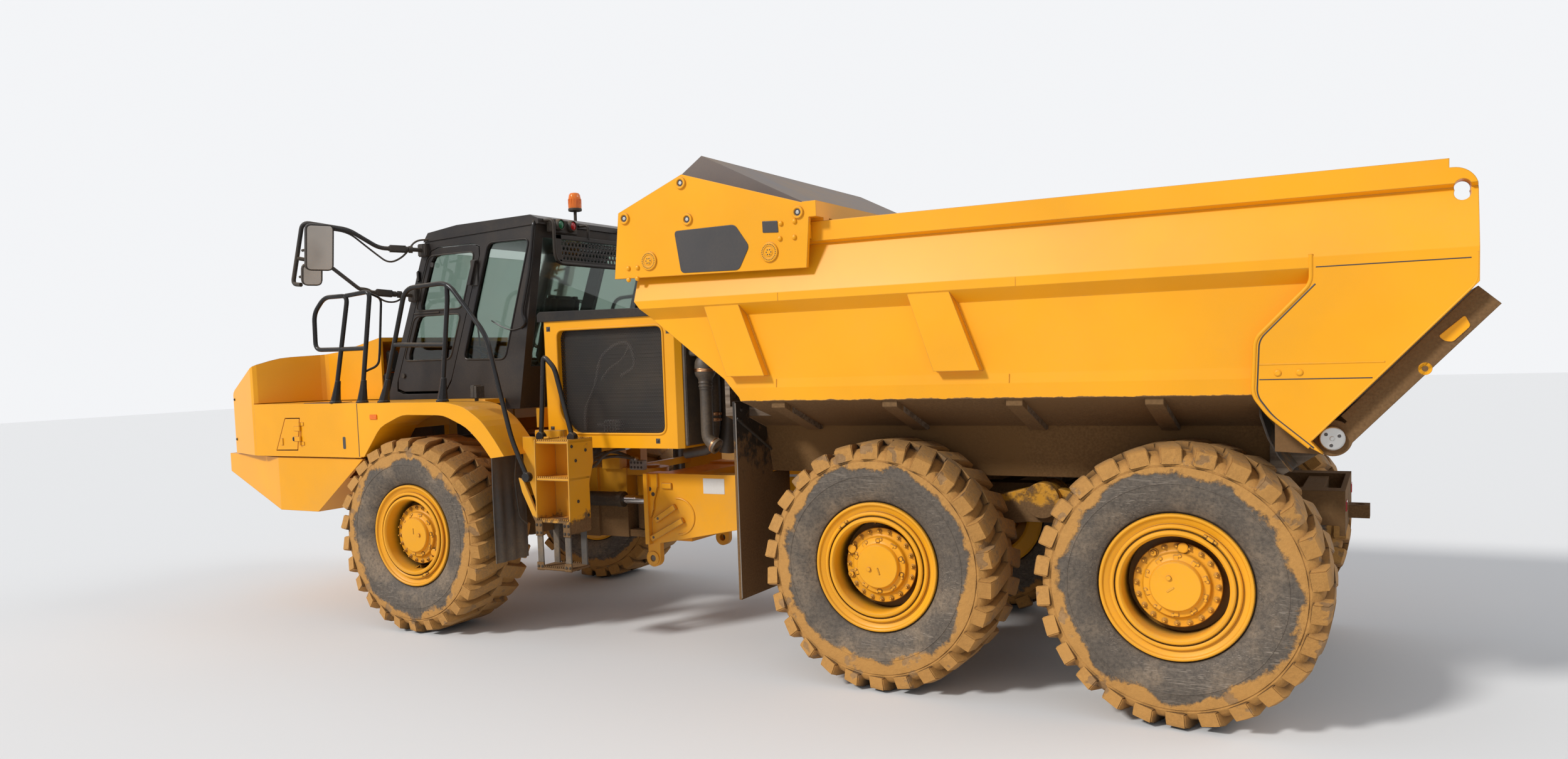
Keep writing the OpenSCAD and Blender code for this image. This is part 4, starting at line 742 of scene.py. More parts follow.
def make_rim(name, centre_x, lay):
    """A rim with its hub, in its own frame, then laid at its axle."""
    form = bmesh.new()
    add_lathe(form, RIM_PROFILE, RIM_STEPS)
    add_lathe(form, HUB_PROFILE, RIM_STEPS)
    for place in around(20, 0.222, FLANGE_A):
        add_bolt(form, place, UP, 0.0125)
        add_disc(form, 0.006, 0, 0.024, 10, facing(place, UP))
    for place in around(10, 0.170, 0.191, 0.2):
        add_bolt(form, place, UP, 0.010)
    # cast pads between cover and drum
    for k in range(10):
        spin = Matrix.Rotation(2 * math.pi * (k + 0.5) / 10, 4, "Z")
        add_block(form, (0.140, -0.016, 0.186), (0.176, 0.016, 0.200), spin, bevel=0.004)
    # drain plug on the drum, and the cover's plug with its level mark
    add_bolt(form, (0.0, 0.216, FLANGE_A + 0.001), UP, 0.020)
    add_lathe(form, [(0, 0), (0.030, 0), (0.030, 0.018), (0.024, 0.022), (0, 0.022)], 24,
              facing((0.153, 0.153, FLANGE_A - 0.001), UP))
    add_disc(form, 0.014, 0, 0.012, 16, facing((0.0, 0.060, HUB_FACE), UP))
    add_block(form, (-0.055, -0.004, HUB_FACE), (-0.010, 0.004, HUB_FACE + 0.003))
    for turn, width, low, high in LOCK_KEY:
        spin = Matrix.Rotation(turn, 4, "Z")
        add_block(form, (low, -width / 2, 0.252), (high, width / 2, 0.270), spin, bevel=0.003)
    # valve with its two guards
    valve = [(0.262, -0.070, DISC_A), (0.262, -0.070, 0.135), (0.285, -0.078, 0.19)]
    add_tube(form, bent(valve, 0.02), 0.007, 10)
    for dy in (-0.022, 0.022):
        add_block(form, (0.262, -0.070 + dy - 0.003, DISC_A), (0.288, -0.070 + dy + 0.003, 0.150))
    form.transform(lay @ Matrix.Rotation(0.7 * centre_x, 4, "Z"))
    return piece(f"rim_{name}_turned", form, f"wheel_{name}", rim_yellow,
                 replaces=[f"rim_{name}"])


rims = [make_rim(*wheel) for wheel in WHEELS]
print("triangles in one rim:", sum(len(p.vertices) - 2 for p in rims[0].data.polygons))

# %% [markdown]
# ## The solids that stay
# Most plates of the truck are right as they came, so they keep their meshes and get a finish. The
# finish of each follows from its place: clean panels, dusty decks, a chassis caked with dried mud and
# darkened by painted shade.

# %% Finish the solids
PANEL_NODES = ("ejector", "hood", "side_panels", "side_hatch", "cooler_cowl", "bumper", "fenders")
BLACK_NODES = ("steer_barrel_left", "steer_barrel_right", "handrails", "roof_guard", "cooler_cover",
               "exhaust", "eject_barrel")


def finish_nodes(material, *names):
    for name in names:
        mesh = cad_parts[name].data
        mesh.materials.clear()
        mesh.materials.append(material)


finish_nodes(yellow_paint, *PANEL_NODES)
finish_nodes(cab_black, "cab_shell", "cab_roof", "cab_door")
finish_nodes(black_paint, *BLACK_NODES)
finish_nodes(chrome, "steer_rod_left", "steer_rod_right", "eject_rod")
finish_nodes(bright_steel, "eject_stage_one", "eject_stage_two", "eject_stage_three")
finish_nodes(iron_grey, "engine")
finish_nodes(cover_grey, "ejector_cover")
finish_nodes(moulded_black, "seat", "controls", "mirrors", "lamps", "cooler_core")
finish_nodes(seal_rubber, "front_flaps")
print("solids finished")

# %% [markdown]
# ## Mud
# Wheels throw mud at everything that stands behind or above them. On this truck it covers the
# body's underside, the rear frame between the wheels and the axles, while the sides stay clean. Under
# the body and on the tailgate the brown is also painted shade, and the tailgate and the tractor's
# chassis are darker copies of the yellow as painted shade. The mud is a group with a ragged edge, and
# each material says by height, width or length where it lies.

# %% Dried mud as a group
def make_mud_group():
    """Clods that fill a share of the surface, with their colour and height."""
    group, given, gives = new_group("dried mud", {"Share": 1.0, "Clod Scale": 9.0},
                                    {"Mask": FLOAT, "Colour": COLOUR, "Height": FLOAT})
    place = object_place(group)
    clods = mottle(group, place, given["Clod Scale"], 8.0, 0.68)
    broad = mottle(group, place, 1.7, 4.0)
    fine = mottle(group, place, 70.0, 4.0)
    uneven = plus(group, given["Share"], times(group, minus(group, clods, 0.5), 1.1))
    mask = ramp(group, uneven, 0.42, 0.60)
    colour = blend_colours(group, fine, (0.075, 0.038, 0.015, 1), (0.25, 0.140, 0.058, 1))
    colour = blend_colours(group, ramp(group, broad, 0.35, 0.7), colour, (0.17, 0.090, 0.034, 1))
    set_inputs(group, gives, {"Mask": mask, "Colour": colour, "Height": times(group, clods, mask)})
    return group


MUD = make_mud_group()
print("group:", MUD.name)


# %% Enamel under mud
def muddied(name, colour, zones, roughness=0.42, amount=0.0, scraped=None, coat=0.08):
    """Enamel under mud. A zone is an axis with the value where mud begins and where it is full,
    and it may be limited by a second axis with its own two values."""
    material, tree, shader, place = new_material(name)
    axes = along_axes(tree, place)

    def zone(axis, begins, full, *limit):
        value = maths(tree, "ABSOLUTE", axes["Y"]) if axis == "width" else axes[axis]
        inside = ramp(tree, value, begins, full)
        return times(tree, inside, zone(*limit)) if limit else inside

    share = plus(tree, zone(*zones[0]), amount)
    for one in zones[1:]:
        share = highest(tree, share, zone(*one))
    mud = use_group(tree, MUD, {"Share": share})
    drift = ramp(tree, mottle(tree, place, 1.2, 5.0), 0.3, 0.7)
    tone = blend_colours(tree, drift, shaded(colour, 0.93), shaded(colour, 1.05))
    edge = use_group(tree, EDGES, {"Radius": 0.008, "Wear": 0.45})
    tone = blend_colours(tree, edge["Edge"], tone, BARE_STEEL)
    film = use_group(tree, DUST, {"Amount": 0.06, "Ground Share": 0.35, "Top Share": 0.25,
                                  "Ground Height": 1.8})["Mask"]
    tone = blend_colours(tree, film, tone, DUST_TAN)
    mask = mud["Mask"]
    if scraped:
        # where the load and the blade rub, steel shows in long streaks
        upward = along_axes(tree, node(tree, "ShaderNodeNewGeometry").outputs["Normal"])["Z"]
        rubbed = times(tree, zone(*scraped), ramp(tree, upward, -0.25, -0.05))
        stretched = node(tree, "ShaderNodeMapping", {"Vector": place, "Scale": (0.6, 14.0, 14.0)}).outputs[0]
        streaks = ramp(tree, mottle(tree, stretched, 3.0, 6.0), 0.35, 0.65)
        steel = blend_colours(tree, streaks, (0.10, 0.085, 0.07, 1), (0.30, 0.26, 0.21, 1))
        tone = blend_colours(tree, rubbed, tone, steel)
        mask = times(tree, mask, minus(tree, 1.0, times(tree, rubbed, 0.55)))
    tone = blend_colours(tree, mask, tone, mud["Colour"])
    rough = plus(tree, times(tree, mask, 0.5), roughness, clamp=True)
    skin = use_group(tree, SKIN, {"Scale": 260.0})["Height"]
    height = plus(tree, times(tree, mud["Height"], 8.0), times(tree, skin, 0.12))
    set_inputs(tree, shader, {
        "Base Color": tone, "Roughness": plus(tree, rough, times(tree, film, 0.2), clamp=True),
        "Coat Weight": times(tree, minus(tree, 1.0, mask), coat), "Coat Roughness": 0.15,
        "Specular IOR Level": 0.28, "Normal": bumped(tree, height, 0.6, 0.002, edge["Rounded"])})
    return material


BELT_Z = 1.957
INNER_Y = 1.300
# Inside the tub the mud is load dirt. Under the body and below the belt it is mud and also painted shade,
# where the belt's overhang shades the lower walls.
INSIDE = ("width", INNER_Y + 0.02, INNER_Y)
LOW_SIDE = ("Z", BELT_Z - 0.06, BELT_Z - 0.11)
body_enamel = muddied("body_enamel", YELLOW, [INSIDE, (*LOW_SIDE, "X", -4.02, -4.00),
                                              (*LOW_SIDE, "width", 1.404, 1.394)], scraped=INSIDE)
frame_enamel = muddied("frame_enamel", YELLOW, [("X", -0.45, -1.3)], amount=0.10)
# the tailgate is a darker copy of the yellow, painted shade, and the brown that fades down it from the top is
# mud and painted shade under the slanted edge
gate_enamel_shaded = muddied("gate_enamel_shaded", (0.62, 0.26, 0.006), [("Z", 2.85, 2.15)], amount=0.30)
axle_enamel = muddied("axle_enamel", (0.60, 0.27, 0.012), [("Z", 1.25, 0.75)], amount=0.45)
# the tractor's chassis is a darker copy of the yellow, painted shade under the machine, with mud low down
tractor_enamel_shaded = muddied("tractor_enamel_shaded", (0.72, 0.32, 0.010), [("Z", 1.15, 0.70)], amount=0.22)
flap_brown = muddied("flap_brown", (0.020, 0.016, 0.013), [("Z", 1.9, 0.3)], amount=0.36, coat=0.0,
                     roughness=0.6)
finish_nodes(body_enamel, "dump_body")
finish_nodes(frame_enamel, "rear_frame")
finish_nodes(gate_enamel_shaded, "tailgate")
finish_nodes(axle_enamel, "front_axle", "centre_axle", "rear_axle", "walking_beams")
finish_nodes(tractor_enamel_shaded, "hitch_casting", "tractor_frame", "steps", "side_tank")
finish_nodes(flap_brown, "mud_flaps")
print("muddied finishes:", body_enamel.name, frame_enamel.name, axle_enamel.name)

# %% [markdown]
# ## Glass
# The cab's panes are tinted green-grey and carry a thin film of dust in soft patches. A real pane
# shows the sky by reflection and the cab's inside by transmission, so the shader stays a plain
# dielectric with a tint, and the dust only roughens and pales it in places.

# %% Tinted and mirror glass
def make_glass(name, tint, film_share, through=1.0):
    material, tree, shader, place = new_material(name)
    specks = ramp(tree, mottle(tree, place, 90.0), 0.3, 0.7)
    spotted = plus(tree, times(tree, specks, 0.35), 0.45)
    clouds = ramp(tree, mottle(tree, place, 3.0, 7.0), 0.42, 0.75)
    film = times(tree, times(tree, clouds, spotted), film_share)
    set_inputs(tree, shader, {
        "Base Color": blend_colours(tree, film, tint, (0.60, 0.52, 0.42, 1)),
        "Roughness": plus(tree, times(tree, film, 0.5), 0.02), "Transmission Weight": through, "IOR": 1.45})
    return material


tinted_glass = make_glass("tinted_glass", (0.42, 0.50, 0.45, 1), 0.16)
lamp_glass = make_glass("lamp_glass", (0.92, 0.92, 0.92, 1), 0.2)
amber_lens = make_glass("amber_lens", (1.0, 0.23, 0.01, 1), 0.05, through=0.35)
red_lens = make_glass("red_lens", (0.55, 0.008, 0.012, 1), 0.05, through=0.25)
green_lens = make_glass("green_lens", (0.01, 0.16, 0.06, 1), 0.05, through=0.25)
mirror_face = coated("mirror_face", (0.30, 0.27, 0.24), 0.05, dust=0.10, wear=0.0, metallic=1.0,
                     skin_depth=0.0, shade=0.35)
finish_nodes(tinted_glass, "cab_glass", "door_glass")
print("panes and lenses:", tinted_glass.name, amber_lens.name)

# %% [markdown]
# ## Finishes of the small pieces
# Perforated sheet is a flat plate whose alpha drops inside each hole. The holes stand in rows, every
# other row shifted by half a pitch, so two square lattices give the pattern.

# %% Perforated sheet, clamps, hoses and plates
ROW_PITCH = 1.732


def make_holes_group():
    """Round holes in staggered rows. Hole is a radius in pitches."""
    group, given, gives = new_group("holes", {"Across": 0.0, "Up": 0.0, "Pitch": 0.012, "Hole": 0.36},
                                    {"Mask": FLOAT})
    distances = []
    for shift in (0.0, 0.5):
        u = plus(group, maths(group, "DIVIDE", given["Across"], given["Pitch"]), shift)
        v = plus(group, maths(group, "DIVIDE", given["Up"], times(group, given["Pitch"], ROW_PITCH)), shift)
        u = minus(group, maths(group, "FRACT", u), 0.5)
        v = times(group, minus(group, maths(group, "FRACT", v), 0.5), ROW_PITCH)
        distances.append(maths(group, "SQRT", plus(group, times(group, u, u), times(group, v, v))))
    nearest = maths(group, "MINIMUM", *distances)
    set_inputs(group, gives, {"Mask": maths(group, "LESS_THAN", nearest, given["Hole"])})
    return group


HOLES = make_holes_group()
perforated_black = coated("perforated_black", (0.014, 0.013, 0.012), 0.45, dust=0.10, wear=0.0)
tree = perforated_black.node_tree
axes = along_axes(tree, object_place(tree))
holes = use_group(tree, HOLES, {"Across": axes["X"], "Up": axes["Z"], "Pitch": 0.016})["Mask"]
set_inputs(tree, tree.nodes["Principled BSDF"], {"Alpha": minus(tree, 1.0, holes)})
duct_black = coated("duct_black", (0.035, 0.030, 0.027), 0.45, dust=0.22, wear=0.1)
hose_rubber = coated("hose_rubber", (0.020, 0.018, 0.017), 0.5, dust=0.18, wear=0.0)
hose_grey = coated("hose_grey", (0.24, 0.21, 0.18), 0.5, wear=0.0)
clamp_copper = coated("clamp_copper", (0.62, 0.33, 0.17), 0.3, dust=0.05, wear=0.0, metallic=1.0)
cast_silver = coated("cast_silver", (0.33, 0.31, 0.29), 0.4, wear=0.2, metallic=0.6)
plate_dark = coated("plate_dark", (0.030, 0.027, 0.027), 0.35, dust=0.05, wear=0.0, coat=0.3)
plate_white = coated("plate_white", (0.74, 0.71, 0.66), 0.45, dust=0.12, wear=0.0, edge_radius=0.001)
strap_rubber = coated("strap_rubber", (0.050, 0.046, 0.042), 0.55, dust=0.12, wear=0.1, skin_depth=0.5)
print("finishes:", len(bpy.data.materials))

# %% [markdown]
# ## Handrails
# The rails are bent tube. Each post ends in a tapered foot on a small flange, and the long rail ends
# in a rubber clamp beside the ladder.

# %% Bend the handrails
RAIL_Y = 1.380
RAIL_R = 0.019
LOOP_Y = 1.180
FENDER_Z = 1.889
RAILS = [
    (0.07, [(3.238, 1.91), (3.010, 2.79), (3.300, 2.79), (3.438, 2.66), (3.445, 2.35), (3.130, 2.345)]),
    (0.06, [(3.030, 2.79), (2.740, 2.81), (2.907, 1.91)]),
    (0.10, [(2.652, 1.91), (2.330, 2.81), (1.860, 2.83), (1.480, 2.40), (1.270, 1.59), (1.130, 1.30)]),
    (0.04, [(1.982, 1.91), (1.868, 2.70), (1.868, 2.82)]),
    (0.0, [(2.480, 2.36), (1.925, 2.34)]),
    (0.0, [(3.120, 2.345), (2.825, 2.345)]),
]
RAIL_FEET = [((3.238, 1.91), (3.010, 2.79)), ((2.907, 1.91), (2.740, 2.81)), ((2.652, 1.91), (2.330, 2.81)),
             ((1.982, 1.91), (1.868, 2.70))]
LADDER_LOOP = [(1.150, 1.60), (1.090, 2.23), (0.985, 2.13), (0.840, 1.595)]
SLEEVE = [(0, -0.025), (0.034, -0.025), (0.040, -0.015), (0.040, 0.015), (0.034, 0.025), (0, 0.025)]
FOOT = [(0, 0), (0.050, 0), (0.050, 0.014), (0.042, 0.020), (0.028, 0.130), (0.023, 0.190), (0.0, 0.190)]

form = bmesh.new()
for side in (1, -1):
    for bend, route in RAILS:
        add_tube(form, bent([(x, side * RAIL_Y, z) for x, z in route], bend), RAIL_R, 14)
    add_tube(form, bent([(x, side * LOOP_Y, z) for x, z in LADDER_LOOP], 0.05), RAIL_R, 14)
    for (x, z), (x_top, z_top) in RAIL_FEET:
        lean = Matrix.Identity(4)
        lean[0][2] = (x_top - x) / (z_top - z)
        add_lathe(form, FOOT, 8, Matrix.Translation((x, side * RAIL_Y, FENDER_Z)) @ lean)
    for x, y, z in ((1.132, RAIL_Y, 1.305), (1.150, LOOP_Y, 1.600), (0.840, LOOP_Y, 1.595)):
        add_lathe(form, SLEEVE, 20, facing((x, side * y, z), (0, 1, 0)))
piece("rails_bent", form, "tractor", rail_black, replaces=["handrails"])
print("rails:", len(RAILS) + 1, "to a side")

# %% [markdown]
# ## Mirrors
# Two arms of thin tube hold the heads far out, because the driver has to see past the wide body. Each
# arm has a rubber joint near the cab that lets it fold, and a thin cable loops round the joint.

# %% Mirror arms, joints and heads
ARM_HIGH = [(2.690, 0.800, 3.180), (2.690, 0.890, 3.180), (2.860, 1.150, 3.190), (2.930, 1.400, 3.330),
            (3.237, 1.600, 3.400), (3.400, 1.600, 2.900), (3.300, 1.600, 2.890)]
ARM_LOW = [(2.840, 0.800, 2.800), (2.840, 0.890, 2.800), (2.980, 1.250, 2.830), (3.120, 1.480, 3.060),
           (3.320, 1.600, 3.110)]
CABLES = [
    [(2.640, 0.802, 3.270), (2.700, 0.900, 3.260), (2.760, 0.980, 3.120), (2.830, 1.080, 3.060),
     (2.900, 1.200, 3.170), (2.940, 1.390, 3.310), (3.230, 1.585, 3.375), (3.200, 1.590, 3.300)],
    [(2.850, 0.880, 2.830), (2.880, 0.960, 2.740), (2.920, 1.080, 2.740), (2.960, 1.190, 2.850),
     (3.000, 1.270, 2.860)],
]
# middle, half width, half height, and how far the stub reaches forward to the arm
HEADS = [((3.060, 1.590, 3.180), 0.110, 0.190, 0.20), ((3.170, 1.590, 2.965), 0.080, 0.090, 0.14)]
# inset, bend of the corners, back, front, bevel and material of shell and glass
HEAD_LAYERS = [(0.0, 0.045, 0.016, -0.030, 0.010, 0), (0.011, 0.036, 0.0185, 0.014, 0, 1)]
TILT = (Matrix.Rotation(math.radians(-25), 4, "Z") @ Matrix.Rotation(math.radians(-14), 4, "Y")
        @ Matrix.Rotation(math.pi / 2, 4, "Z"))

form = bmesh.new()
for flip in (UNMOVED, Matrix.Scale(-1, 4, (0, 1, 0))):
    for route, radius in ((ARM_HIGH, 0.018), (ARM_LOW, 0.016)):
        add_tube(form, [flip @ p for p in bent(route, 0.06)], radius, 12)
        root, a, b = (Vector(point) for point in route[:3])
        joint = flip @ facing(a.lerp(b, 0.52), b - a)
        add_block(form, (-0.026, -0.030, -0.075), (0.026, 0.030, 0.075), joint, 0.010)
        for share, wide in ((0.18, 0.030), (0.30, 0.024)):
            add_disc(form, wide, -0.016, 0.016, 16, flip @ facing(a.lerp(b, share), b - a))
        low, high = root + Vector((-0.050, -0.010, -0.055)), root + Vector((0.050, 0.045, 0.055))
        add_block(form, low, high, flip, 0.008)
    for route in CABLES:
        add_tube(form, [flip @ p for p in bent(route, 0.08)], 0.008, 8, material=2)
    for (x, y, z), half_wide, half_high, reach in HEADS:
        place = flip @ Matrix.Translation((x, y, z)) @ TILT
        for inset, bend, y0, y1, bevel, index in HEAD_LAYERS:
            w, h = half_wide - inset, half_high - inset
            outline = closed_bend([(-w, -h), (w, -h), (w, h), (-w, h)], bend)
            add_plate(form, outline, y0, y1, place, bevel, index)
        stub = [(x + 0.01, y, z), (x + reach, 1.600, z - 0.01)]
        add_tube(form, [flip @ Vector(point) for point in stub], 0.011, 10)
piece("mirrors_glazed", form, "tractor", [moulded_black, mirror_face, hose_rubber],
      replaces=["mirrors"])
print("mirror heads:", 2 * len(HEADS))

# %% [markdown]
# ## The cooler
# The cooler stands behind the cab in a yellow cowl. Behind its perforated side one sees a hose and a
# small valve. At the back hang the duct, the bell and the pipes that carry warm air down.

# %% Mesh, lip, bolts and what is behind them
COWL_Y = 0.9005
OPENING = [(0.160, 1.600), (0.160, 2.430), (1.190, 2.430), (1.190, 1.760), (1.060, 1.600)]

opening = closed_bend(OPENING, 0.07)
form = bmesh.new()
for side in (1, -1):
    add_plate(form, opening, side * 0.846, side * 0.850)
piece("cooler_mesh", form, "tractor", perforated_black, smooth=False, replaces=["cooler_core"])

form = bmesh.new()
add_block(form, (0.090, -0.700, 1.550), (1.280, 0.700, 2.490), bevel=0.01)
for k in range(28):
    z = 1.60 + 0.031 * k
    add_block(form, (0.100, -0.712, z), (1.270, 0.712, z + 0.006))
# rear shroud with its chamfered sides, and the ribs that stiffen it
for y0, y1 in ((-0.860, -0.300), (-0.298, 0.298), (0.300, 0.860)):
    add_block(form, (-0.010, y0, 1.510), (0.020, y1, 2.500), bevel=0.006)
for y in (-0.58, 0.0, 0.58):
    add_block(form, (-0.018, y - 0.10, 1.600), (-0.009, y + 0.10, 1.950), bevel=0.003)
piece("cooler_stack", form, "tractor", duct_black)

form = bmesh.new()
thick_hose = [(1.034, 0.775, 1.62), (1.034, 0.775, 1.785), (0.912, 0.775, 1.99), (0.859, 0.775, 2.206),
              (0.692, 0.775, 2.308), (0.559, 0.775, 2.314), (0.520, 0.760, 2.12), (0.70, 0.72, 2.05)]
thin_hose = [(0.559, 0.77, 2.30), (0.640, 0.77, 2.179), (0.780, 0.77, 2.11), (0.860, 0.77, 2.02)]
add_tube(form, bent(thick_hose, 0.08), 0.014, 10, material=1)
add_tube(form, bent(thin_hose, 0.05), 0.010, 8, material=1)
add_block(form, (0.690, 0.715, 1.600), (0.846, 0.790, 1.701), bevel=0.008)
for k in range(5):
    add_block(form, (0.705 + 0.028 * k, 0.790, 1.608), (0.715 + 0.028 * k, 0.800, 1.693))
add_tube(form, [(0.846, 0.75, 1.66), (0.93, 0.75, 1.66)], 0.014, 10)
piece("cooler_valve", form, "tractor", [cast_silver, hose_grey])

form = bmesh.new()
for side in (1, -1):
    add_ring_bead(form, opening, side * 0.899, 0.010)
piece("cowl_lip", form, "tractor", yellow_paint)

form = bmesh.new()
for side in (1, -1):
    for x, z in ((0.110, 2.380), (0.240, 1.548), (1.270, 2.440), (1.270, 1.640)):
        y = side * COWL_Y
        add_block(form, (x - 0.019, y - 0.001, z - 0.019), (x + 0.019, y + 0.001, z + 0.019))
        add_bolt(form, (x, side * 0.9012, z), (0, side, 0), 0.009)
piece("cowl_bolts", form, "tractor", plate_dark, smooth=False)
print("cooler dressed")

# %% Duct, bell and pipes behind the cowl
PIPE_X = -0.105
PIPE_Y = 0.740
BAND = [(-0.004, -0.012), (0.003, -0.012), (0.004, -0.007), (0.001, -0.005),
        (0.001, 0.005), (0.004, 0.007), (0.003, 0.012), (-0.004, 0.012)]
BELL = [(0, 1.930), (0.051, 1.930), (0.051, 1.948), (0.055, 1.951), (0.055, 1.960), (0.051, 1.963),
        (0.051, 1.975), (0.055, 1.978), (0.055, 1.987), (0.052, 1.992), (0.058, 2.015), (0.074, 2.035),
        (0.080, 2.055), (0.080, 2.100), (0.076, 2.140), (0.062, 2.170), (0.060, 2.190), (0, 2.190)]
MOUTH = [(0.048, -0.03), (0.052, 0.0), (0.062, 0.010), (0.062, 0.030), (0.050, 0.034), (0.042, 0.034),
         (0.042, -0.03)]
MOUTH_WAY = (-1, 0, -0.55)
DUCT_OUTLINE = [(-0.010, 2.360), (-0.075, 2.335), (-0.190, 2.235), (-0.190, 2.185), (-0.010, 2.185)]


def add_clamp(form, place, direction, radius):
    """A band clamp of the second material: a flat ring with a lip on each side and its bolt."""
    at = facing(place, direction)
    add_lathe(form, [(radius + r, z) for r, z in BAND], 28, at, 1)
    add_block(form, (radius, -0.018, -0.010), (radius + 0.016, 0.018, 0.010), at, 0.003, 1)


form = bmesh.new()
add_plate(form, DUCT_OUTLINE, PIPE_Y - 0.085, PIPE_Y + 0.085, bevel=0.010)
add_lathe(form, BELL, 32, Matrix.Translation((PIPE_X, PIPE_Y, 0)))
add_clamp(form, (PIPE_X, PIPE_Y, 2.078), UP, 0.080)
first = [(PIPE_X, PIPE_Y, 1.95), (PIPE_X, PIPE_Y, 1.555), (-0.185, PIPE_Y, 1.495)]
add_tube(form, bent(first, 0.10, 10), 0.048, 20)
mouth = facing((-0.165, PIPE_Y, 1.508), MOUTH_WAY)
add_lathe(form, MOUTH, 28, mouth)
add_clamp(form, mouth @ Vector((0, 0, 0.004)), MOUTH_WAY, 0.056)
second = [(-0.060, 0.560, 2.180), (-0.060, 0.560, 1.620), (-0.030, 0.560, 1.460), (0.220, 0.560, 1.420)]
add_tube(form, bent(second, 0.12, 8), 0.040, 18)
for z in (1.735, 1.690):
    add_clamp(form, (-0.060, 0.560, z), UP, 0.041)
third = [(-0.085, 0.400, 2.250), (-0.100, 0.400, 1.800), (-0.060, 0.400, 1.420)]
add_tube(form, bent(third, 0.15, 8), 0.062, 20)
piece("exhaust_pipes", form, "tractor", [duct_black, clamp_copper], replaces=["exhaust"])

form = bmesh.new()
for side in (1, -1):
    rear_y, side_y = side * 0.815, side * 0.8615
    add_block(form, (-0.0175, rear_y - 0.028, 2.290), (-0.0100, rear_y + 0.028, 2.380), bevel=0.002)
    add_block(form, (0.000, side_y - 0.0015, 2.290), (0.019, side_y + 0.0015, 2.380))
piece("cowl_reflectors", form, "tractor", amber_lens)
print("pipes hung")

# %% [markdown]
# ## The ejector's carriage and the body
# Outside the body's rail rides the carriage of the ejector blade. Its side plate holds two sealed
# roller covers with rings of small holes, four bosses, bolts, and two plain plates.

# %% Roller covers, domes and plain plates
CARRIAGE_Y = 1.512
ROLLERS = [(-0.182, 2.845), (-1.134, 2.834)]
BOSSES = [(-0.467, 3.345), (0.010, 3.150), (-0.510, 3.099), (-1.351, 3.070)]
DOMES = [(-0.005, 2.806), (-0.083, 2.806), (-0.004, 2.727), (-0.078, 2.731),
         (-1.225, 3.010), (-1.325, 3.015), (-1.215, 2.915), (-1.320, 2.915)]
ROLLER_COVER = [(0, 0), (0.064, 0), (0.064, 0.004), (0.060, 0.007), (0.040, 0.007), (0.038, 0.004),
                (0.030, 0.004), (0.026, 0.008), (0, 0.009)]
BOSS_RING = [(0.024, 0.0), (0.040, 0.0), (0.040, 0.005), (0.037, 0.008), (0.027, 0.008), (0.024, 0.005)]
BOSS_FLOOR = [(0, -0.002), (0.024, -0.002), (0.022, 0.001), (0, 0.001)]
DOME = [(0, 0), (0.017, 0), (0.017, 0.004), (0.014, 0.011), (0.008, 0.015), (0, 0.016)]
BIG_PLATE = [(-0.400, 3.030), (-0.445, 2.745), (-0.900, 2.735), (-0.985, 2.885), (-0.880, 3.034)]
SMALL_PLATE = [(-1.088, 3.036), (-1.090, 2.962), (-1.205, 2.955), (-1.200, 3.030)]

form = bmesh.new()
for side in (1, -1):
    for x, z in ROLLERS:
        at = on_side(side, x, CARRIAGE_Y + 0.005, z)
        add_lathe(form, ROLLER_COVER, 48, at)
        # each small hole is a thin dark disc: painted shade
        for count, ring, height, size in ((26, 0.050, 0.0071, 0.0035), (6, 0.017, 0.0084, 0.0045)):
            for place in around(count, ring, height):
                add_disc(form, size, 0, 0.0008, 8, at @ Matrix.Translation(place), 1)
    for x, z in BOSSES:
        at = on_side(side, x, CARRIAGE_Y + 0.006, z)
        add_lathe(form, BOSS_RING, 32, at)
        # the boss's floor is dark: painted shade in the recess
        add_lathe(form, BOSS_FLOOR, 24, at, 1)
        add_disc(form, 0.013, 0, 0.004, 6, at, 2)
    for x, z in DOMES:
        add_lathe(form, DOME, 20, on_side(side, x, CARRIAGE_Y, z))
piece("carriage_covers", form, "ejector", [yellow_paint, plate_dark, bright_steel])

form = bmesh.new()
for side in (1, -1):
    for outline, bend in ((BIG_PLATE, 0.03), (SMALL_PLATE, 0.006)):
        add_plate(form, closed_bend(outline, bend), side * (CARRIAGE_Y + 0.0002), side * (CARRIAGE_Y + 0.003))
piece("carriage_plates", form, "ejector", plate_dark, smooth=False)
print("carriage dressed")

# %% Welds, bosses and pins of body and tailgate
RIB_XS = (-0.960, -2.430)
RIB_EDGE_Y = 1.427
RIDGE_Y = 1.4995
form = bmesh.new()
for side in (1, -1):
    for x in RIB_XS:
        for x_top, x_low in ((x + 0.09, x - 0.09), (x + 0.36, x + 0.20)):
            add_tube(form, [(x_top, side * RIB_EDGE_Y, 2.52), (x_low, side * RIB_EDGE_Y, 2.035)], 0.006, 6)
    for x in (-1.175, -2.75):
        add_tube(form, [(x, side * RIDGE_Y, 2.572), (x, side * RIDGE_Y, 2.522)], 0.003, 6)
        add_tube(form, [(x + 0.07, side * 1.428, 2.012), (x + 0.07, side * 1.431, 1.960)], 0.003, 6)
    for x, z in ((-4.139, 1.986), (-4.242, 1.987)):
        add_lathe(form, [(0, 0), (0.018, 0), (0.018, 0.004), (0.012, 0.009), (0, 0.009)], 20,
                  on_side(side, x, RIDGE_Y, z))
piece("body_welds", form, "rear_unit", yellow_paint)

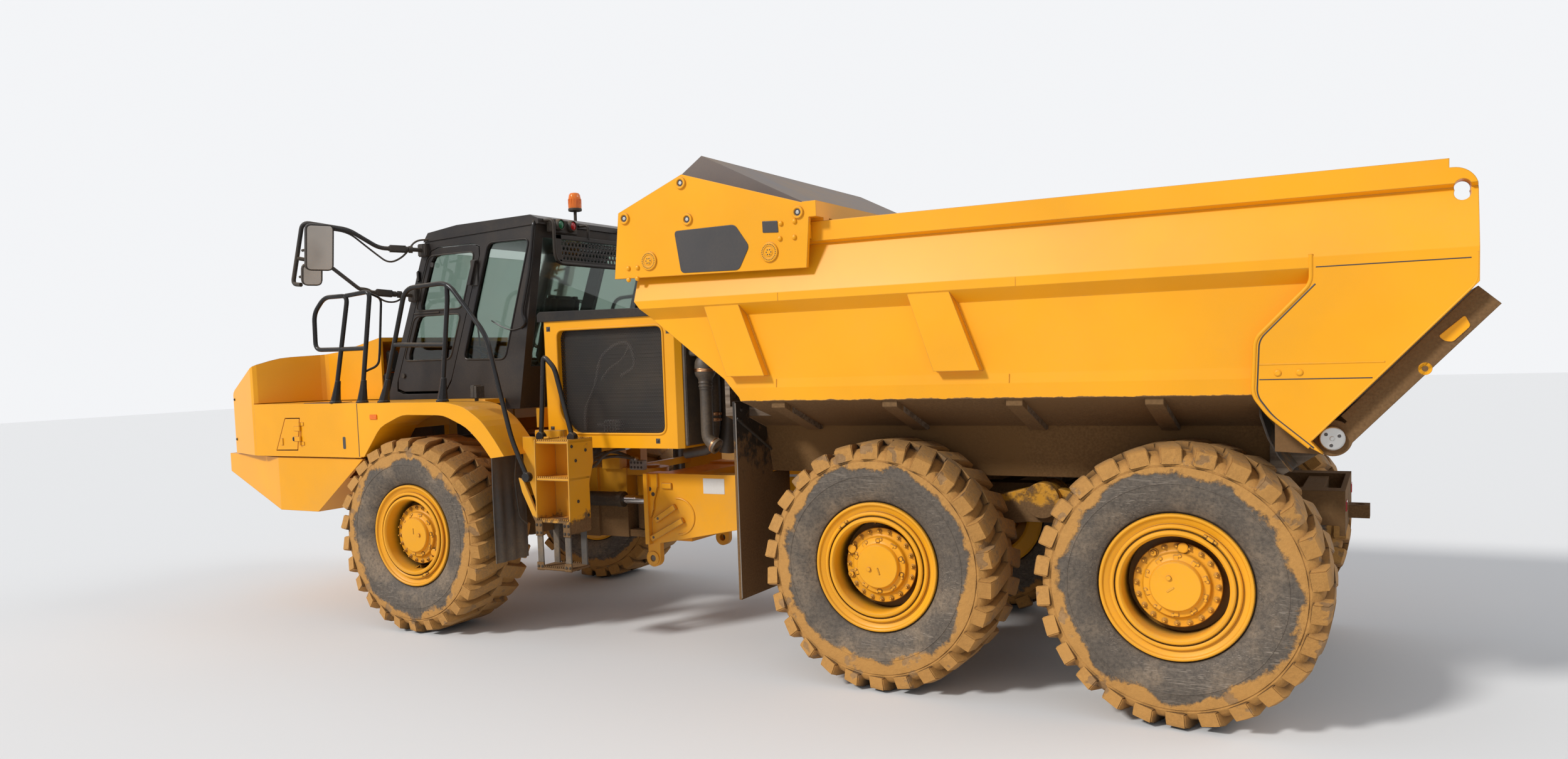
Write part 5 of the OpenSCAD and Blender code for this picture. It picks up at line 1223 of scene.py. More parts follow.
form = bmesh.new()
for side in (1, -1):
    at = on_side(side, -4.390, 1.418, 1.639)
    add_lathe(form, [(0, 0), (0.062, 0), (0.062, 0.010), (0.056, 0.016), (0, 0.016)], 36, at)
    # three thin dark discs stand for holes in the cap: painted shade
    for place in around(3, 0.036, 0.0162, 0.4):
        add_disc(form, 0.009, 0, 0.001, 12, at @ Matrix.Translation(place), 1)
    add_disc(form, 0.012, 0.0161, 0.020, 6, at)
piece("gate_pin_caps", form, "rear_unit", [bright_steel, plate_dark])
print("body dressed")

# %% [markdown]
# ## Frame head and hitch
# The rear frame's head carries a flange with two holes, two slanting bars where straps hook in, and a
# curved weld. A plain white plate sits on the rail behind them.

# %% Dress the frame head
FRAME_Y = 0.5505
FLANGE_Y = 0.572
FLANGE = [(0.500, 1.255), (0.585, 1.255), (0.618, 1.140), (0.600, 1.070), (0.575, 1.010), (0.600, 0.950),
          (0.618, 0.900), (0.618, 0.690), (0.590, 0.690), (0.590, 0.880), (0.545, 0.965), (0.545, 1.030),
          (0.500, 1.150)]
BARS = [((0.530, 0.878), (0.335, 0.996)), ((0.580, 0.725), (0.265, 0.890))]
ARC_TURNS = [math.radians(d) for d in range(-5, 186, 8)]
# holes are thin dark discs of this thickness: painted shade inside them
HOLE_SHADE_THICKNESS = 0.0006

form = bmesh.new()
for side in (1, -1):
    y = side * FRAME_Y
    add_plate(form, FLANGE, y, side * FLANGE_Y, bevel=0.003)
    for x, z in ((0.576, 1.131), (0.545, 1.090)):
        add_disc(form, 0.017, 0, HOLE_SHADE_THICKNESS, 20, on_side(side, x, FLANGE_Y + 0.0002, z), 1)
    low, high = sorted((y, side * 0.566))
    add_block(form, (0.371, low, 1.134), (0.467, high, 1.182), bevel=0.003)
    low, high = sorted((y, side * 0.585))
    for (x0, z0), (x1, z1) in BARS:
        tilt = Matrix.Translation((x0, 0, z0)) @ Matrix.Rotation(-math.atan2(z1 - z0, x1 - x0), 4, "Y")
        add_block(form, (0.0, low, -0.024), (math.hypot(x1 - x0, z1 - z0), high, 0.024), tilt, 0.004)
        hole = tilt @ Vector((0.035, side * 0.5852, 0.0))
        add_disc(form, 0.011, 0, HOLE_SHADE_THICKNESS, 16, facing(hole, (0, side, 0)), 1)
    arc = [(0.325 - 0.155 * math.sin(t), side * 0.551, 0.915 + 0.145 * math.cos(t)) for t in ARC_TURNS]
    add_tube(form, arc, 0.008, 8)
    at = on_side(side, 0.580, FRAME_Y, 0.565)
    add_lathe(form, [(0.026, 0), (0.056, 0), (0.056, 0.010), (0.026, 0.010)], 28, at)
    # the ring's hole is a thin dark disc: painted shade
    add_disc(form, 0.026, 0.0005, 0.001, 20, at, 1)
piece("frame_head_fittings", form, "rear_unit", [yellow_paint, plate_dark])

form = bmesh.new()
add_block(form, (-0.120, 0.5502, 1.106), (0.075, 0.5520, 1.226))
piece("frame_plate", form, "rear_unit", plate_white, smooth=False)
print("frame head dressed")

# %% [markdown]
# ## Steps and flaps
# The ladder behind the front wheel is four treads with toothed edges between bent side plates. The
# lowest tread hangs on rubber straps, so that it gives way when it strikes a rock. Behind the wheel
# hangs a rubber flap, which is thin enough to fall in folds.

# %% Treads, plates and straps
TREADS = [(0.600, 1.180, 1.400), (0.960, 1.160, 1.390), (1.280, 1.140, 1.380), (1.560, 1.090, 1.370)]
STEP_X = (0.720, 1.060)
STAY = [(1.165, 1.285), (1.215, 1.300), (1.185, 1.190), (1.065, 0.960), (1.040, 0.960), (1.035, 1.010)]
BACK_PLATE = [(1.330, 1.600), (1.060, 1.600), (1.060, 0.880), (1.120, 0.880), (1.215, 1.070), (1.330, 1.400)]
STRAP_XS = (0.755, 1.025)
STRAP_PLATE_YS = (1.394 - 0.004, 1.394 + 0.004)
TOOTH_TOP = 0.034
SIDEWAYS = Matrix.Rotation(math.pi / 2, 4, "Z")

form = bmesh.new()
for z, y0, y1 in TREADS:
    add_block(form, (STEP_X[0], y0, z), (STEP_X[1], y1, z + 0.022), bevel=0.004)
    for edge in (y0 + 0.006, y1 - 0.006):
        for k in range(17):
            x = STEP_X[0] + 0.010 + 0.020 * k
            add_block(form, (x - 0.006, edge - 0.005, z + 0.020), (x + 0.006, edge + 0.005, z + TOOTH_TOP),
                      bevel=0.002)
for (z, y0, _), (z_next, _, _) in zip(TREADS[1:], TREADS[2:]):
    add_block(form, (STEP_X[0] + 0.02, y0 + 0.004, z + 0.020), (STEP_X[1] - 0.02, y0 + 0.012, z_next),
              bevel=0.002)
for x, inner in ((STEP_X[0], 1.090), (STEP_X[1] - 0.020, 1.000)):
    outline = [(1.150, 0.960), (1.150, 0.880), (1.392, 0.880), (1.392, 0.975), (1.380, 1.585),
               (1.372, 1.592), (inner, 1.590), (inner, 1.400), (1.150, 1.250)]
    add_plate(form, outline, -x, -(x + 0.012), SIDEWAYS, 0.002)
add_block(form, (STEP_X[1] - 0.020, 1.000, 1.250), (1.340, 1.040, 1.640), bevel=0.004)
# the outer stay and the plate behind it
add_plate(form, STAY, 1.372, 1.390, bevel=0.003)
add_plate(form, BACK_PLATE, 1.186, 1.196, bevel=0.002)
for x in STRAP_XS:
    for z0, z1 in ((0.860, 0.975), (0.596, 0.660)):
        add_block(form, (x - 0.034, STRAP_PLATE_YS[0], z0), (x + 0.034, STRAP_PLATE_YS[1], z1), bevel=0.002)
piece("ladder_folded", form, "tractor", tractor_enamel_shaded, replaces=["steps"])

form = bmesh.new()
for x in STRAP_XS:
    for y in (1.384, 1.200):
        add_block(form, (x - 0.030, y - 0.005, 0.600), (x + 0.030, y + 0.006, 0.960), bevel=0.004)
piece("ladder_straps", form, "tractor", strap_rubber)

form = bmesh.new()
for x in STRAP_XS:
    for dx in (-0.018, 0.018):
        for z in (0.628, 0.885, 0.945):
            add_bolt(form, (x + dx, 1.398, z), (0, 1, 0), 0.009)
for y, z in ((1.175, 1.000), (1.290, 1.120), (1.300, 1.430), (1.180, 1.500), (1.340, 1.540)):
    for x in (STEP_X[0], STEP_X[1] - 0.008):
        add_bolt(form, (x, y, z), (-1, 0, 0), 0.010)
piece("ladder_bolts", form, "tractor", black_paint, smooth=False)
print("ladder built")


# %% Rubber flaps that hang in folds
FLAP_GRID = (48, 24)


def add_folded_sheet(form, low, high, thick, folds, depth, seed):
    """A sheet across y and z whose x swings in soft folds, flat at its upper edge."""
    columns, rows = FLAP_GRID
    layers = []
    for offset in (0.0, thick):
        grid = []
        for j in range(rows + 1):
            fall = 1 - j / rows
            z = low[2] + (high[2] - low[2]) * j / rows
            line = []
            for i in range(columns + 1):
                share = i / columns
                turn = share * folds * 2 * math.pi + seed + fall * 0.8
                swing = math.sin(turn) * depth * min(1.0, fall * 2.2)
                x = (low[0] + high[0] - thick) / 2 + swing + offset
                line.append(form.verts.new((x, low[1] + (high[1] - low[1]) * share, z)))
            grid.append(line)
        layers.append(grid)
    for grid in layers:
        for a, b in zip(grid, grid[1:]):
            for i in range(columns):
                form.faces.new((a[i], a[i + 1], b[i + 1], b[i]))
    near, far = layers
    for a, b in ((near[0], far[0]), (near[-1], far[-1]), ([g[0] for g in near], [g[0] for g in far]),
                 ([g[-1] for g in near], [g[-1] for g in far])):
        for i in range(len(a) - 1):
            form.faces.new((a[i], a[i + 1], b[i + 1], b[i]))


form = bmesh.new()
for low_y, high_y in ((1.050, 1.420), (-1.420, -1.050)):
    add_folded_sheet(form, (1.436, low_y, 0.622), (1.462, high_y, 1.473), thick=0.008, folds=3.2,
                     depth=0.009, seed=0.6)
piece("front_flaps_hung", form, "tractor", strap_rubber, replaces=["front_flaps"])

form = bmesh.new()
for side in (1, -1):
    # a stiff strap across the flap in front of the centre wheels, and a pale line down the flap's outer edge
    add_tube(form, [(-0.704, side * 1.292, 1.745), (-0.704, side * 0.560, 1.352)], 0.011, 10)
    add_tube(form, [(-0.702, side * 1.298, 1.850), (-0.702, side * 1.298, 0.490)], 0.004, 8, material=1)
    for z in (1.80, 1.72):
        add_bolt(form, (-0.7005, side * 1.22, z), (-1, 0, 0), 0.012)
piece("flap_straps", form, "rear_unit", [hose_rubber, hose_grey])
print("flaps hung")

# %% [markdown]
# ## The cab
# Rubber seals run round every pane and round the door, a guard of perforated sheet hangs off the
# roof's rear, and tubes, boxes and lamps are screwed on outside.

# %% Seals, tubes and boxes on the cab
def edge_x(z, low, high):
    """x at height z on a straight edge between two points."""
    return low[0] + (high[0] - low[0]) * (z - low[1]) / (high[1] - low[1])


CAB_FRONT = ((3.230, 1.950), (2.690, 3.250))
DOOR_REAR = ((2.500, 1.960), (2.030, 3.190))
CAB_SIDE = 0.801


def door_pane(z0, z1):
    """Outline of a pane of the door between two heights."""
    return [(edge_x(z0, *DOOR_REAR) + 0.062, z0), (edge_x(z0, *CAB_FRONT) - 0.090, z0),
            (edge_x(z1, *CAB_FRONT) - 0.090, z1), (edge_x(z1, *DOOR_REAR) + 0.062, z1)]


form = bmesh.new()
for z0, z1 in ((2.230, 2.618), (2.662, 3.130)):
    add_ring_bead(form, closed_bend(door_pane(z0, z1), 0.06), CAB_SIDE, 0.007)
add_tube(form, [(2.560, 0.800, 2.640), (2.860, 0.800, 2.640)], 0.009, 8)
for x, z in ((3.085, 2.10), (2.66, 3.05)):
    add_disc(form, 0.022, 0, 0.014, 16, facing((x - 0.05, 0.800, z), (0, 1, 0)))
add_block(form, (2.085, 0.800, 2.840), (2.165, 0.812, 3.060), bevel=0.005)
piece("door_seals", form, "door", seal_rubber)

REAR_PANE = [(2.306, 2.225), (1.960, 3.190), (1.510, 3.190), (1.834, 2.213)]
BLIND_DOOR = [(2.545, 1.975), (3.165, 1.975), (2.665, 3.175), (2.075, 3.175)]
EDGE_TUBE = [(1.450, 0.800, 3.330), (1.440, 0.822, 3.300), (1.505, 0.822, 2.937), (1.610, 0.822, 2.590),
             (1.575, 0.822, 2.500), (1.640, 0.800, 2.470)]
LOOP = [(2.765, 1.372, 2.800), (2.781, 1.230, 2.759), (2.867, 1.200, 2.324), (2.889, 1.200, 2.200),
        (2.960, 1.290, 2.150), (2.865, 1.375, 2.150)]
WIRE = [(1.640, 0.803, 2.470), (1.738, 0.812, 2.450), (1.820, 0.812, 2.475), (1.918, 0.812, 2.520),
        (1.960, 0.803, 2.540)]
form = bmesh.new()
for side in (1, -1):
    add_ring_bead(form, closed_bend(REAR_PANE, 0.06), side * CAB_SIDE, 0.008)
    add_tube(form, bent([(x, side * y, z) for x, y, z in EDGE_TUBE], 0.05), 0.013, 10)
add_ring_bead(form, closed_bend(BLIND_DOOR, 0.08), -CAB_SIDE, 0.006)
add_tube(form, bent(LOOP, 0.05), 0.010, 10)
add_tube(form, bent(WIRE, 0.06), 0.006, 8)
piece("cab_tubes", form, "tractor", rail_black)

BOXES = [((3.245, 0.700, 1.905), (3.350, 0.800, 2.130)), ((3.235, 0.660, 2.140), (3.300, 0.760, 2.330)),
         ((2.760, 0.800, 2.910), (2.800, 0.820, 3.010))]
form = bmesh.new()
for low, high in BOXES:
    add_block(form, low, high, bevel=0.010)
for k in range(5):
    add_block(form, (3.240 + 0.022 * k, 0.799, 1.925), (3.250 + 0.022 * k, 0.808, 2.110))
piece("cab_boxes", form, "tractor", moulded_black)
print("cab dressed")


# %% The roof guard's sheet with real holes
def add_hex_sheet(form, low, high, pitch, hole, x, thick):
    """Hexagon cells in staggered rows between low and high (y, z), each with a hexagonal hole."""
    outer_r = pitch / math.sqrt(3)
    row_step = pitch * math.sqrt(3) / 2
    rows = int((high[1] - low[1]) / row_step)
    columns = int((high[0] - low[0]) / pitch)
    turns = [math.pi / 2 + k * math.pi / 3 for k in range(6)]
    for row in range(rows):
        for column in range(columns - row % 2):
            y = low[0] + pitch * (column + 0.5 + 0.5 * (row % 2))
            z = low[1] + row_step * (row + 0.5)
            rings = [[form.verts.new((layer, y + r * math.cos(t), z + r * math.sin(t))) for t in turns]
                     for layer, r in ((x, outer_r), (x, hole), (x + thick, hole), (x + thick, outer_r))]
            for a, b in zip(rings, rings[1:]):
                for k in range(6):
                    n = (k + 1) % 6
                    form.faces.new((a[k], a[n], b[n], b[k]))
    bmesh.ops.remove_doubles(form, verts=form.verts, dist=0.0005)


GUARD_X = 1.300
GUARD_FRAME = [(-0.725, 0.725, 2.985, 3.012), (-0.725, 0.725, 3.178, 3.212),
               (-0.725, -0.725 + 0.070, 2.985, 3.212), (0.655, 0.655 + 0.070, 2.985, 3.212)]
HOOP = [(1.395, -0.740, 3.330), (GUARD_X, -0.740, 3.330), (GUARD_X, -0.740, 2.978), (GUARD_X, 0.740, 2.978),
        (GUARD_X, 0.740, 3.330), (1.395, 0.740, 3.330)]
form = bmesh.new()
add_hex_sheet(form, (-0.700, 3.005), (0.700, 3.195), pitch=0.045, hole=0.016, x=GUARD_X - 0.002,
              thick=0.004)
for y0, y1, z0, z1 in GUARD_FRAME:
    add_block(form, (GUARD_X - 0.004, y0, z0), (GUARD_X + 0.004, y1, z1), bevel=0.002)
add_tube(form, bent(HOOP, 0.11, 10), 0.014, 12)
for y in (-0.300, 0.300):
    add_tube(form, bent([(1.399, y, 3.320), (GUARD_X, y, 3.320), (GUARD_X, y, 3.200)], 0.03), 0.012, 10)
piece("guard_sheet", form, "tractor", black_paint, replaces=["roof_guard"])
print("guard built")

# %% [markdown]
# ## Lamps
# An amber beacon stands on a curved stem, a green and a red lamp look back from the roof, work lamps
# with cooling fins sit on the fenders, and headlamps fill the corners of the nose.

# %% Beacon, roof lamps, headlamps and markers
BEACON_X, BEACON_Y = 2.040, -0.450
BEACON = Matrix.Translation((BEACON_X, BEACON_Y, 0.0))
BEACON_DOME = [(0, 3.604), (0.060, 3.604), (0.061, 3.625), (0.057, 3.700), (0.052, 3.728), (0.040, 3.744),
               (0.020, 3.749), (0, 3.7495)]
BEACON_BASE = [(0, 3.575), (0.048, 3.575), (0.062, 3.580), (0.064, 3.592), (0.062, 3.604), (0, 3.604)]
BEACON_STEM = [(BEACON_X, BEACON_Y, 3.578), (BEACON_X, -0.448, 3.480), (BEACON_X, -0.470, 3.425),
               (BEACON_X, -0.560, 3.402)]
ROOF_LAMPS = [("lamp_green", 0.595, green_lens), ("lamp_red", 0.440, red_lens)]
ROOF_LAMP_BOX = [(0.350, 3.236), (0.350, 3.285), (0.400, 3.345), (0.650, 3.350), (0.715, 3.320),
                 (0.715, 3.240)]
ROOF_LAMP_RIM = [(0.036, 0), (0.048, 0), (0.050, 0.008), (0.047, 0.030), (0.041, 0.038), (0.036, 0.034)]
ROOF_LENS = [(0, 0.0), (0.0365, 0.0), (0.0365, 0.026), (0.030, 0.033), (0.016, 0.037), (0, 0.038)]
HEADLAMP_X = 5.0325
HEADLAMP_LENS = [(0, 0.0030), (0.046, 0.0026), (0.047, 0.0002), (0.048, 0.0002), (0.048, 0.0040), (0, 0.0048)]
HEADLAMP_MIRROR = [(0, 0.0002), (0.045, 0.0012), (0.045, 0.0002), (0, 0.0001)]
MARKER_X, MARKER_Y, MARKER_Z = 2.710, 1.4435, 1.774
WORK_LAMP_X, WORK_LAMP_Y, WORK_LAMP_Z = 1.680, 1.300, 1.960


def roof_lamp_place(y):
    return facing((1.373, y, 3.304), (-1, 0, 0))


form = bmesh.new()
add_lathe(form, BEACON_DOME, 36, BEACON)
for k in range(18):
    spin = BEACON @ Matrix.Rotation(k * math.pi / 9, 4, "Z")
    add_block(form, (0.052, -0.002, 3.612), (0.0615, 0.002, 3.690), spin)
for side in (1, -1):
    y = side * MARKER_Y
    add_block(form, (MARKER_X - 0.042, y - 0.0045, MARKER_Z - 0.020),
              (MARKER_X + 0.042, y + 0.0045, MARKER_Z + 0.020), bevel=0.003)
piece("amber_lenses", form, "tractor", amber_lens, replaces=["lamps"])

form = bmesh.new()
add_lathe(form, BEACON_BASE, 36, BEACON)
add_tube(form, bent(BEACON_STEM, 0.05, 8), 0.015, 12)
add_block(form, (2.010, -0.660, 3.384), (2.070, -0.540, 3.412), bevel=0.006)
add_plate(form, ROOF_LAMP_BOX, -1.372, -1.399, SIDEWAYS, 0.006)
for _, y, _ in ROOF_LAMPS:
    add_lathe(form, ROOF_LAMP_RIM, 28, roof_lamp_place(y))
for side in (1, -1):
    x, y, z = WORK_LAMP_X, side * WORK_LAMP_Y, WORK_LAMP_Z
    add_block(form, (x - 0.010, y - 0.045, z - 0.050), (x + 0.034, y + 0.045, z + 0.055), bevel=0.006)
    # cooling fins and foot
    for k in range(8):
        add_block(form, (x - 0.034, y - 0.044 + 0.0118 * k, z - 0.046),
                  (x - 0.008, y - 0.038 + 0.0118 * k, z + 0.050))
    add_block(form, (x, y - 0.014, 1.888), (x + 0.020, y + 0.014, 1.915), bevel=0.002)
    low, high = sorted((side * 0.745, side * 0.975))
    add_block(form, (5.0295, low, 1.278), (HEADLAMP_X, high, 1.392), bevel=0.001)
piece("lamp_housings", form, "tractor", moulded_black)

for name, y, lens_material in ROOF_LAMPS:
    form = bmesh.new()
    add_lathe(form, ROOF_LENS, 28, roof_lamp_place(y))
    piece(name, form, "tractor", lens_material)

form = bmesh.new()
for side in (1, -1):
    for y in (0.808, 0.912):
        at = facing((HEADLAMP_X, side * y, 1.335), (1, 0, 0))
        add_lathe(form, HEADLAMP_LENS, 28, at)
        add_lathe(form, HEADLAMP_MIRROR, 28, at, 1)
    y = side * WORK_LAMP_Y
    add_block(form, (1.7160, y - 0.038, 1.918), (1.7185, y + 0.038, 2.008), bevel=0.001)
    add_block(form, (1.7130, y - 0.036, 1.920), (1.7150, y + 0.036, 2.006), material=1)
piece("lamp_faces", form, "tractor", [lamp_glass, chrome])
print("lamps fitted")

# %% [markdown]
# ## Small parts of nose and hitch
# Latches, an anti-slip pad, a valve block and a few hoses. None of them crosses the hitch's joint.

# %% Latches, pads, valve block and hoses
PANEL_Y = 1.4195
LATCH = [(3.089, 1.503), (3.122, 1.503), (3.122, 1.606), (3.089, 1.606)]
HOSES = [
    [(1.330, 0.420, 1.300), (1.180, 0.440, 1.400), (1.000, 0.440, 1.420), (0.900, 0.330, 1.345)],
    [(1.330, 0.500, 1.290), (1.150, 0.520, 1.360), (0.960, 0.500, 1.390), (0.860, 0.330, 1.345)],
    [(1.340, 0.560, 1.280), (1.100, 0.600, 1.300), (0.950, 0.640, 1.430), (0.740, 0.600, 1.470)],
]
HOSE_NUT = [(0, 0), (0.019, 0), (0.019, 0.030), (0.016, 0.034), (0, 0.034)]

form = bmesh.new()
for side in (1, -1):
    add_plate(form, closed_bend(LATCH, 0.012), side * PANEL_Y, side * (PANEL_Y + 0.002))
    low, high = sorted((side * 1.200, side * 1.385))
    add_block(form, (3.240, low, 1.8895), (3.640, high, 1.8945), bevel=0.002)
    low, high = sorted((side * 1.4395, side * 1.4415))
    add_block(form, (2.902, low, 1.440), (2.908, high, 1.885))
piece("nose_fittings", form, "tractor", plate_dark, smooth=False)

form = bmesh.new()
at = facing((3.746, PANEL_Y, 1.584), (0, 1, 0))
add_lathe(form, [(0, 0), (0.020, 0), (0.020, 0.003), (0.014, 0.006), (0, 0.006)], 20, at)
add_block(form, (-0.004, -0.016, 0.006), (0.004, 0.016, 0.012), at, 0.001)
piece("hatch_latch", form, "hatch", plate_dark)

form = bmesh.new()
add_block(form, (0.790, 0.300, 1.255), (0.937, 0.352, 1.337), bevel=0.006)
# the ports are thin dark discs: painted shade inside them
for k in range(4):
    for z in (1.277, 1.316):
        add_disc(form, 0.011, 0, HOLE_SHADE_THICKNESS, 14, facing((0.812 + 0.034 * k, 0.3525, z), (0, 1, 0)), 1)
piece("valve_block", form, "tractor", [cast_silver, plate_dark])

form = bmesh.new()
for route in HOSES:
    add_tube(form, bent(route, 0.09, 8), 0.014, 12)
    for end_point, before in (route[:2], route[:-3:-1]):
        add_lathe(form, HOSE_NUT, 6, facing(end_point, Vector(before) - Vector(end_point)), 1)
piece("hitch_hoses", form, "tractor", [hose_rubber, bright_steel])
print("small parts placed")

# %% [markdown]
# ## The seat
# The seat has a hard base and two stuffed parts. Each starts as a rounded block a little smaller than
# the finished cushion. A cloth simulation with inner pressure then swells it, so the faces crown and
# the corners pull in, and sewn channels are pressed in afterwards.

# %% Woven cover
def make_weave_group():
    """Threads over and under each other, as a height."""
    group, given, gives = new_group("weave", {"Threads": 420.0}, {"Height": FLOAT})
    axes = along_axes(group, object_place(group))
    waves = [maths(group, "SINE", times(group, axes[axis], times(group, given["Threads"], 6.283)))
             for axis in ("X", "Y", "Z")]
    crossed = times(group, plus(group, waves[0], waves[2]), waves[1])
    set_inputs(group, gives, {"Height": plus(group, times(group, crossed, 0.25), 0.5)})
    return group


WEAVE = make_weave_group()
seat_cloth = coated("seat_cloth", (0.045, 0.046, 0.050), 0.85, dust=0.10, wear=0.0, skin_depth=0.1)
tree = seat_cloth.node_tree
woven = bumped(tree, use_group(tree, WEAVE)["Height"], 0.5, 0.0015)
set_inputs(tree, tree.nodes["Principled BSDF"], {"Normal": woven, "Sheen Weight": 0.4})
print("cover:", seat_cloth.name)


# %% Stuff and sew the cushions
CELL = 0.008
PRESSURE = 4.0
FRAMES = 20
GROWTH_LIMIT = 0.012
CHANNEL_HALF_WIDTH = 0.030
CHANNEL_DEPTH = 0.010
ACROSS = 1


def settle(thing):
    """Replaces the mesh of a piece by what its modifiers make of it, and drops them."""
    graph = bpy.context.evaluated_depsgraph_get()
    mesh = bpy.data.meshes.new_from_object(thing.evaluated_get(graph))
    thing.modifiers.clear()
    thing.data = mesh


def stuff(thing, channels):
    """Remesh, swell by cloth pressure with a limit to the growth, then press the sewn channels in."""
    remesh = thing.modifiers.new("remesh", "REMESH")
    remesh.mode = "VOXEL"
    remesh.voxel_size = CELL
    settle(thing)
    start = [v.co.copy() for v in thing.data.vertices]
    cloth = thing.modifiers.new("cloth", "CLOTH")
    cloth.settings.use_pressure = True
    cloth.settings.uniform_pressure_force = PRESSURE
    cloth.settings.effector_weights.gravity = 0.0
    cloth.point_cache.frame_end = FRAMES
    for step in range(1, FRAMES + 1):
        scene.frame_set(step)
    settle(thing)
    scene.frame_set(1)
    for v, before in zip(thing.data.vertices, start):
        travel = v.co - before
        if travel.length > GROWTH_LIMIT:
            v.co = before + travel.normalized() * GROWTH_LIMIT
        for at in channels:
            near = abs(v.co[ACROSS] - at) / CHANNEL_HALF_WIDTH
            if near < 1:
                v.co -= v.normal * CHANNEL_DEPTH * (1 - near) ** 2
    thing.modifiers.new("smoother", "SUBSURF").levels = 1
    settle(thing)
    for face in thing.data.polygons:
        face.use_smooth = True


form = bmesh.new()
add_block(form, (2.100, -0.150, 1.850), (2.360, 0.150, 1.880), bevel=0.008)
bellows = [(2.110, 1.880), (2.350, 1.880), (2.300, 1.960), (2.350, 2.060), (2.110, 2.060), (2.160, 1.960)]
add_plate(form, bellows, -0.140, 0.140, bevel=0.010)
add_block(form, (2.000, -0.240, 2.055), (2.460, 0.240, 2.078), bevel=0.008)
piece("seat_base", form, "tractor", moulded_black, replaces=["seat"])

form = bmesh.new()
add_block(form, (1.992, -0.248, 2.084), (2.468, 0.248, 2.188), bevel=0.030)
cushion = piece("seat_cushion", form, "tractor", seat_cloth)
stuff(cushion, (-0.120, 0.120))

form = bmesh.new()
add_plate(form, [(2.048, 2.200), (1.895, 2.780), (1.815, 2.775), (1.965, 2.115)], -0.228, 0.228, bevel=0.028)
backrest = piece("seat_back", form, "tractor", seat_cloth)
stuff(backrest, (-0.115, 0.115))
print("seat faces:", len(cushion.data.polygons), len(backrest.data.polygons))

# %% [markdown]
# ## Last details of body and nose
# The thick plates at the body's rear have rolled edges and grooves, a curved guard hangs behind each
# rear wheel, and the tailgate carries stop blocks. The nose gets its grille, the windscreen its wiper.

# %% Edges and grooves at the rear
REAR_EDGE = [(-4.297, 2.590), (-4.297, 2.442), (-4.031, 2.167), (-4.018, 1.873), (-4.095, 1.765),
             (-4.288, 1.599)]
SLANT_EDGE = [(-4.297, 1.637), (-5.022, 2.406), (-5.022, 2.550)]
form = bmesh.new()
for side in (1, -1):
    for route, radius in ((REAR_EDGE, 0.011), (SLANT_EDGE, 0.006)):
        add_tube(form, bent([(x, side * 1.496, z) for x, z in route], 0.04), radius, 10)
    # dark lines beside the rolled edge, along the ridge and along the belt: painted shade of the grooves
    groove = [(x - 0.020, side * 1.4985, z - 0.004) for x, z in REAR_EDGE[1:]]
    add_tube(form, bent(groove, 0.04), 0.0045, 6, material=1)
    for z, x0, x1 in ((2.523, -4.320, -4.995), (1.953, -4.050, -4.575)):
        add_tube(form, [(x0, side * 1.499, z), (x1, side * 1.499, z)], 0.0035, 6, material=1)
    add_tube(form, [(-4.050, side * 1.497, 2.032), (-4.630, side * 1.497, 2.032)], 0.006, 8)
piece("rear_edges", form, "rear_unit", [yellow_paint, plate_dark])
print("rear edges and grooves laid")

# %% Curved guards behind the rear wheels
GUARD_ARC = [(-4.030, 1.850), (-4.042, 1.740), (-4.080, 1.620), (-4.130, 1.525), (-4.190, 1.445)]
GUARD_T = 0.012
guard_back = [(x + GUARD_T, z + GUARD_T * 0.3) for x, z in reversed(GUARD_ARC)]
form = bmesh.new()
for side in (1, -1):
    y0, y1 = sorted((side * 0.860, side * 1.290))
    add_plate(form, GUARD_ARC + guard_back, y0, y1, bevel=0.002)
guards = piece("rear_guards", form, "rear_unit", flap_brown)
print("faces of the rear guards:", len(guards.data.polygons))

# %% Stop block and eye on the tailgate
STOP_BLOCK = [(-4.862, 2.150), (-4.975, 2.250), (-5.000, 2.196), (-4.925, 2.120), (-4.890, 2.124)]
form = bmesh.new()
for side in (1, -1):
    y0, y1 = sorted((side * 1.340, side * 1.404))
    add_plate(form, closed_bend(STOP_BLOCK, 0.012), y0, y1, bevel=0.003)
    at = on_side(side, -4.806, 1.380, 1.990)
    add_lathe(form, [(0.014, 0), (0.032, 0), (0.032, 0.020), (0.014, 0.020)], 24, at)
piece("gate_stops", form, "tailgate", yellow_paint)
print("rear end dressed")

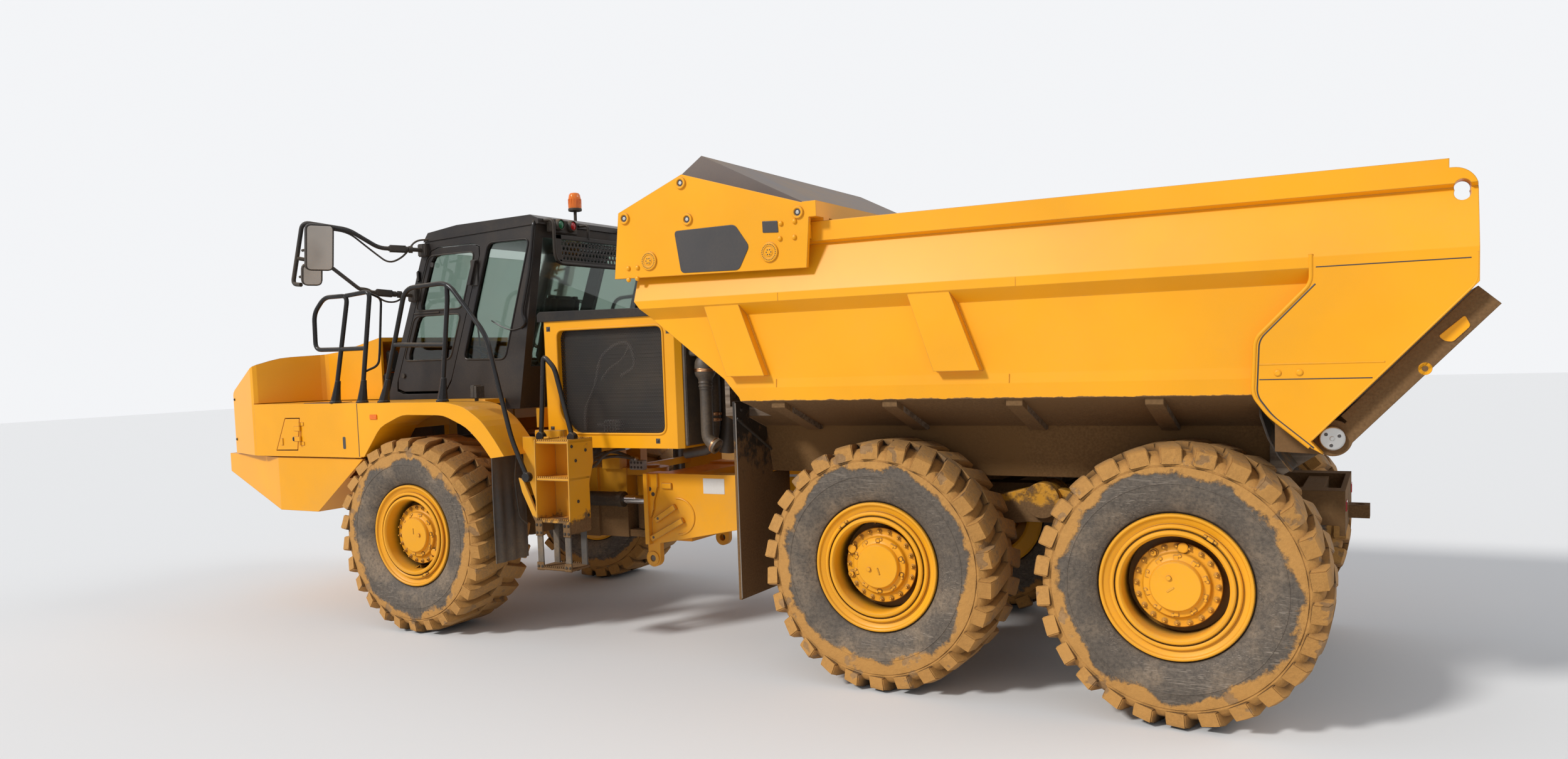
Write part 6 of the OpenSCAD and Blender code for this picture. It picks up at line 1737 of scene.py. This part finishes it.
# %% Grille, wiper and tail lamps
NOSE_X = 4.878
FENDER_CABLE = [(1.405, 1.180, 1.520), (1.400, 1.230, 1.260), (1.395, 1.200, 0.960), (1.380, 1.130, 0.900)]
form = bmesh.new()
add_block(form, (4.8790, -0.900, 1.490), (4.8830, 0.900, 1.800))
for k in range(11):
    z = 1.505 + 0.026 * k
    add_block(form, (NOSE_X, -0.900, z), (4.889, 0.900, z + 0.008), bevel=0.002)
piece("grille_slats", form, "hood", moulded_black, smooth=False)

form = bmesh.new()
for k in range(7):
    y = -0.900 + 0.300 * k
    add_block(form, (NOSE_X, y - 0.010, 1.480), (4.892, y + 0.010, 1.810), bevel=0.003)
for z in (1.480, 1.798):
    add_block(form, (NOSE_X, -0.912, z), (4.892, 0.912, z + 0.014), bevel=0.003)
for side in (1, -1):
    for z in (1.930, 1.560):
        add_bolt(form, (4.800, side * 1.2295, z), (0.34, side * 0.94, 0), 0.010)
piece("grille_bars", form, "hood", black_paint)

form = bmesh.new()
add_tube(form, [(3.213, -0.380, 2.030), (2.830, 0.120, 2.950)], 0.008, 8)
add_tube(form, [(3.262, 0.300, 1.960), (3.075, 0.020, 2.400)], 0.010, 8)
piece("wiper", form, "tractor", moulded_black)

form = bmesh.new()
for side in (1, -1):
    y = side * 0.455
    add_block(form, (-4.4275, y - 0.055, 1.130), (-4.4195, y + 0.055, 1.190), bevel=0.002)
piece("tail_lamps", form, "rear_unit", red_lens)

form = bmesh.new()
add_tube(form, bent(FENDER_CABLE, 0.08), 0.009, 8)
piece("fender_cable", form, "tractor", hose_rubber)
print("last details placed")

# %% [markdown]
# ## Floor
# A plain pale floor catches the shadow.

# %% Lay the floor
FLOOR_REACH = 60.0
form = bmesh.new()
corners = ((-1, -1), (1, -1), (1, 1), (-1, 1))
form.faces.new([form.verts.new((x * FLOOR_REACH, y * FLOOR_REACH, 0)) for x, y in corners])
floor_mesh = bpy.data.meshes.new("floor")
form.to_mesh(floor_mesh)
form.free()
floor = bpy.data.objects.new("floor", floor_mesh)
scene.collection.objects.link(floor)
pale_floor, tree, shader, _ = new_material("pale_floor")
set_inputs(tree, shader, {"Base Color": (0.72, 0.71, 0.69, 1), "Roughness": 0.9})
floor_mesh.materials.append(pale_floor)
print("floor reaches", FLOOR_REACH, "m each way")
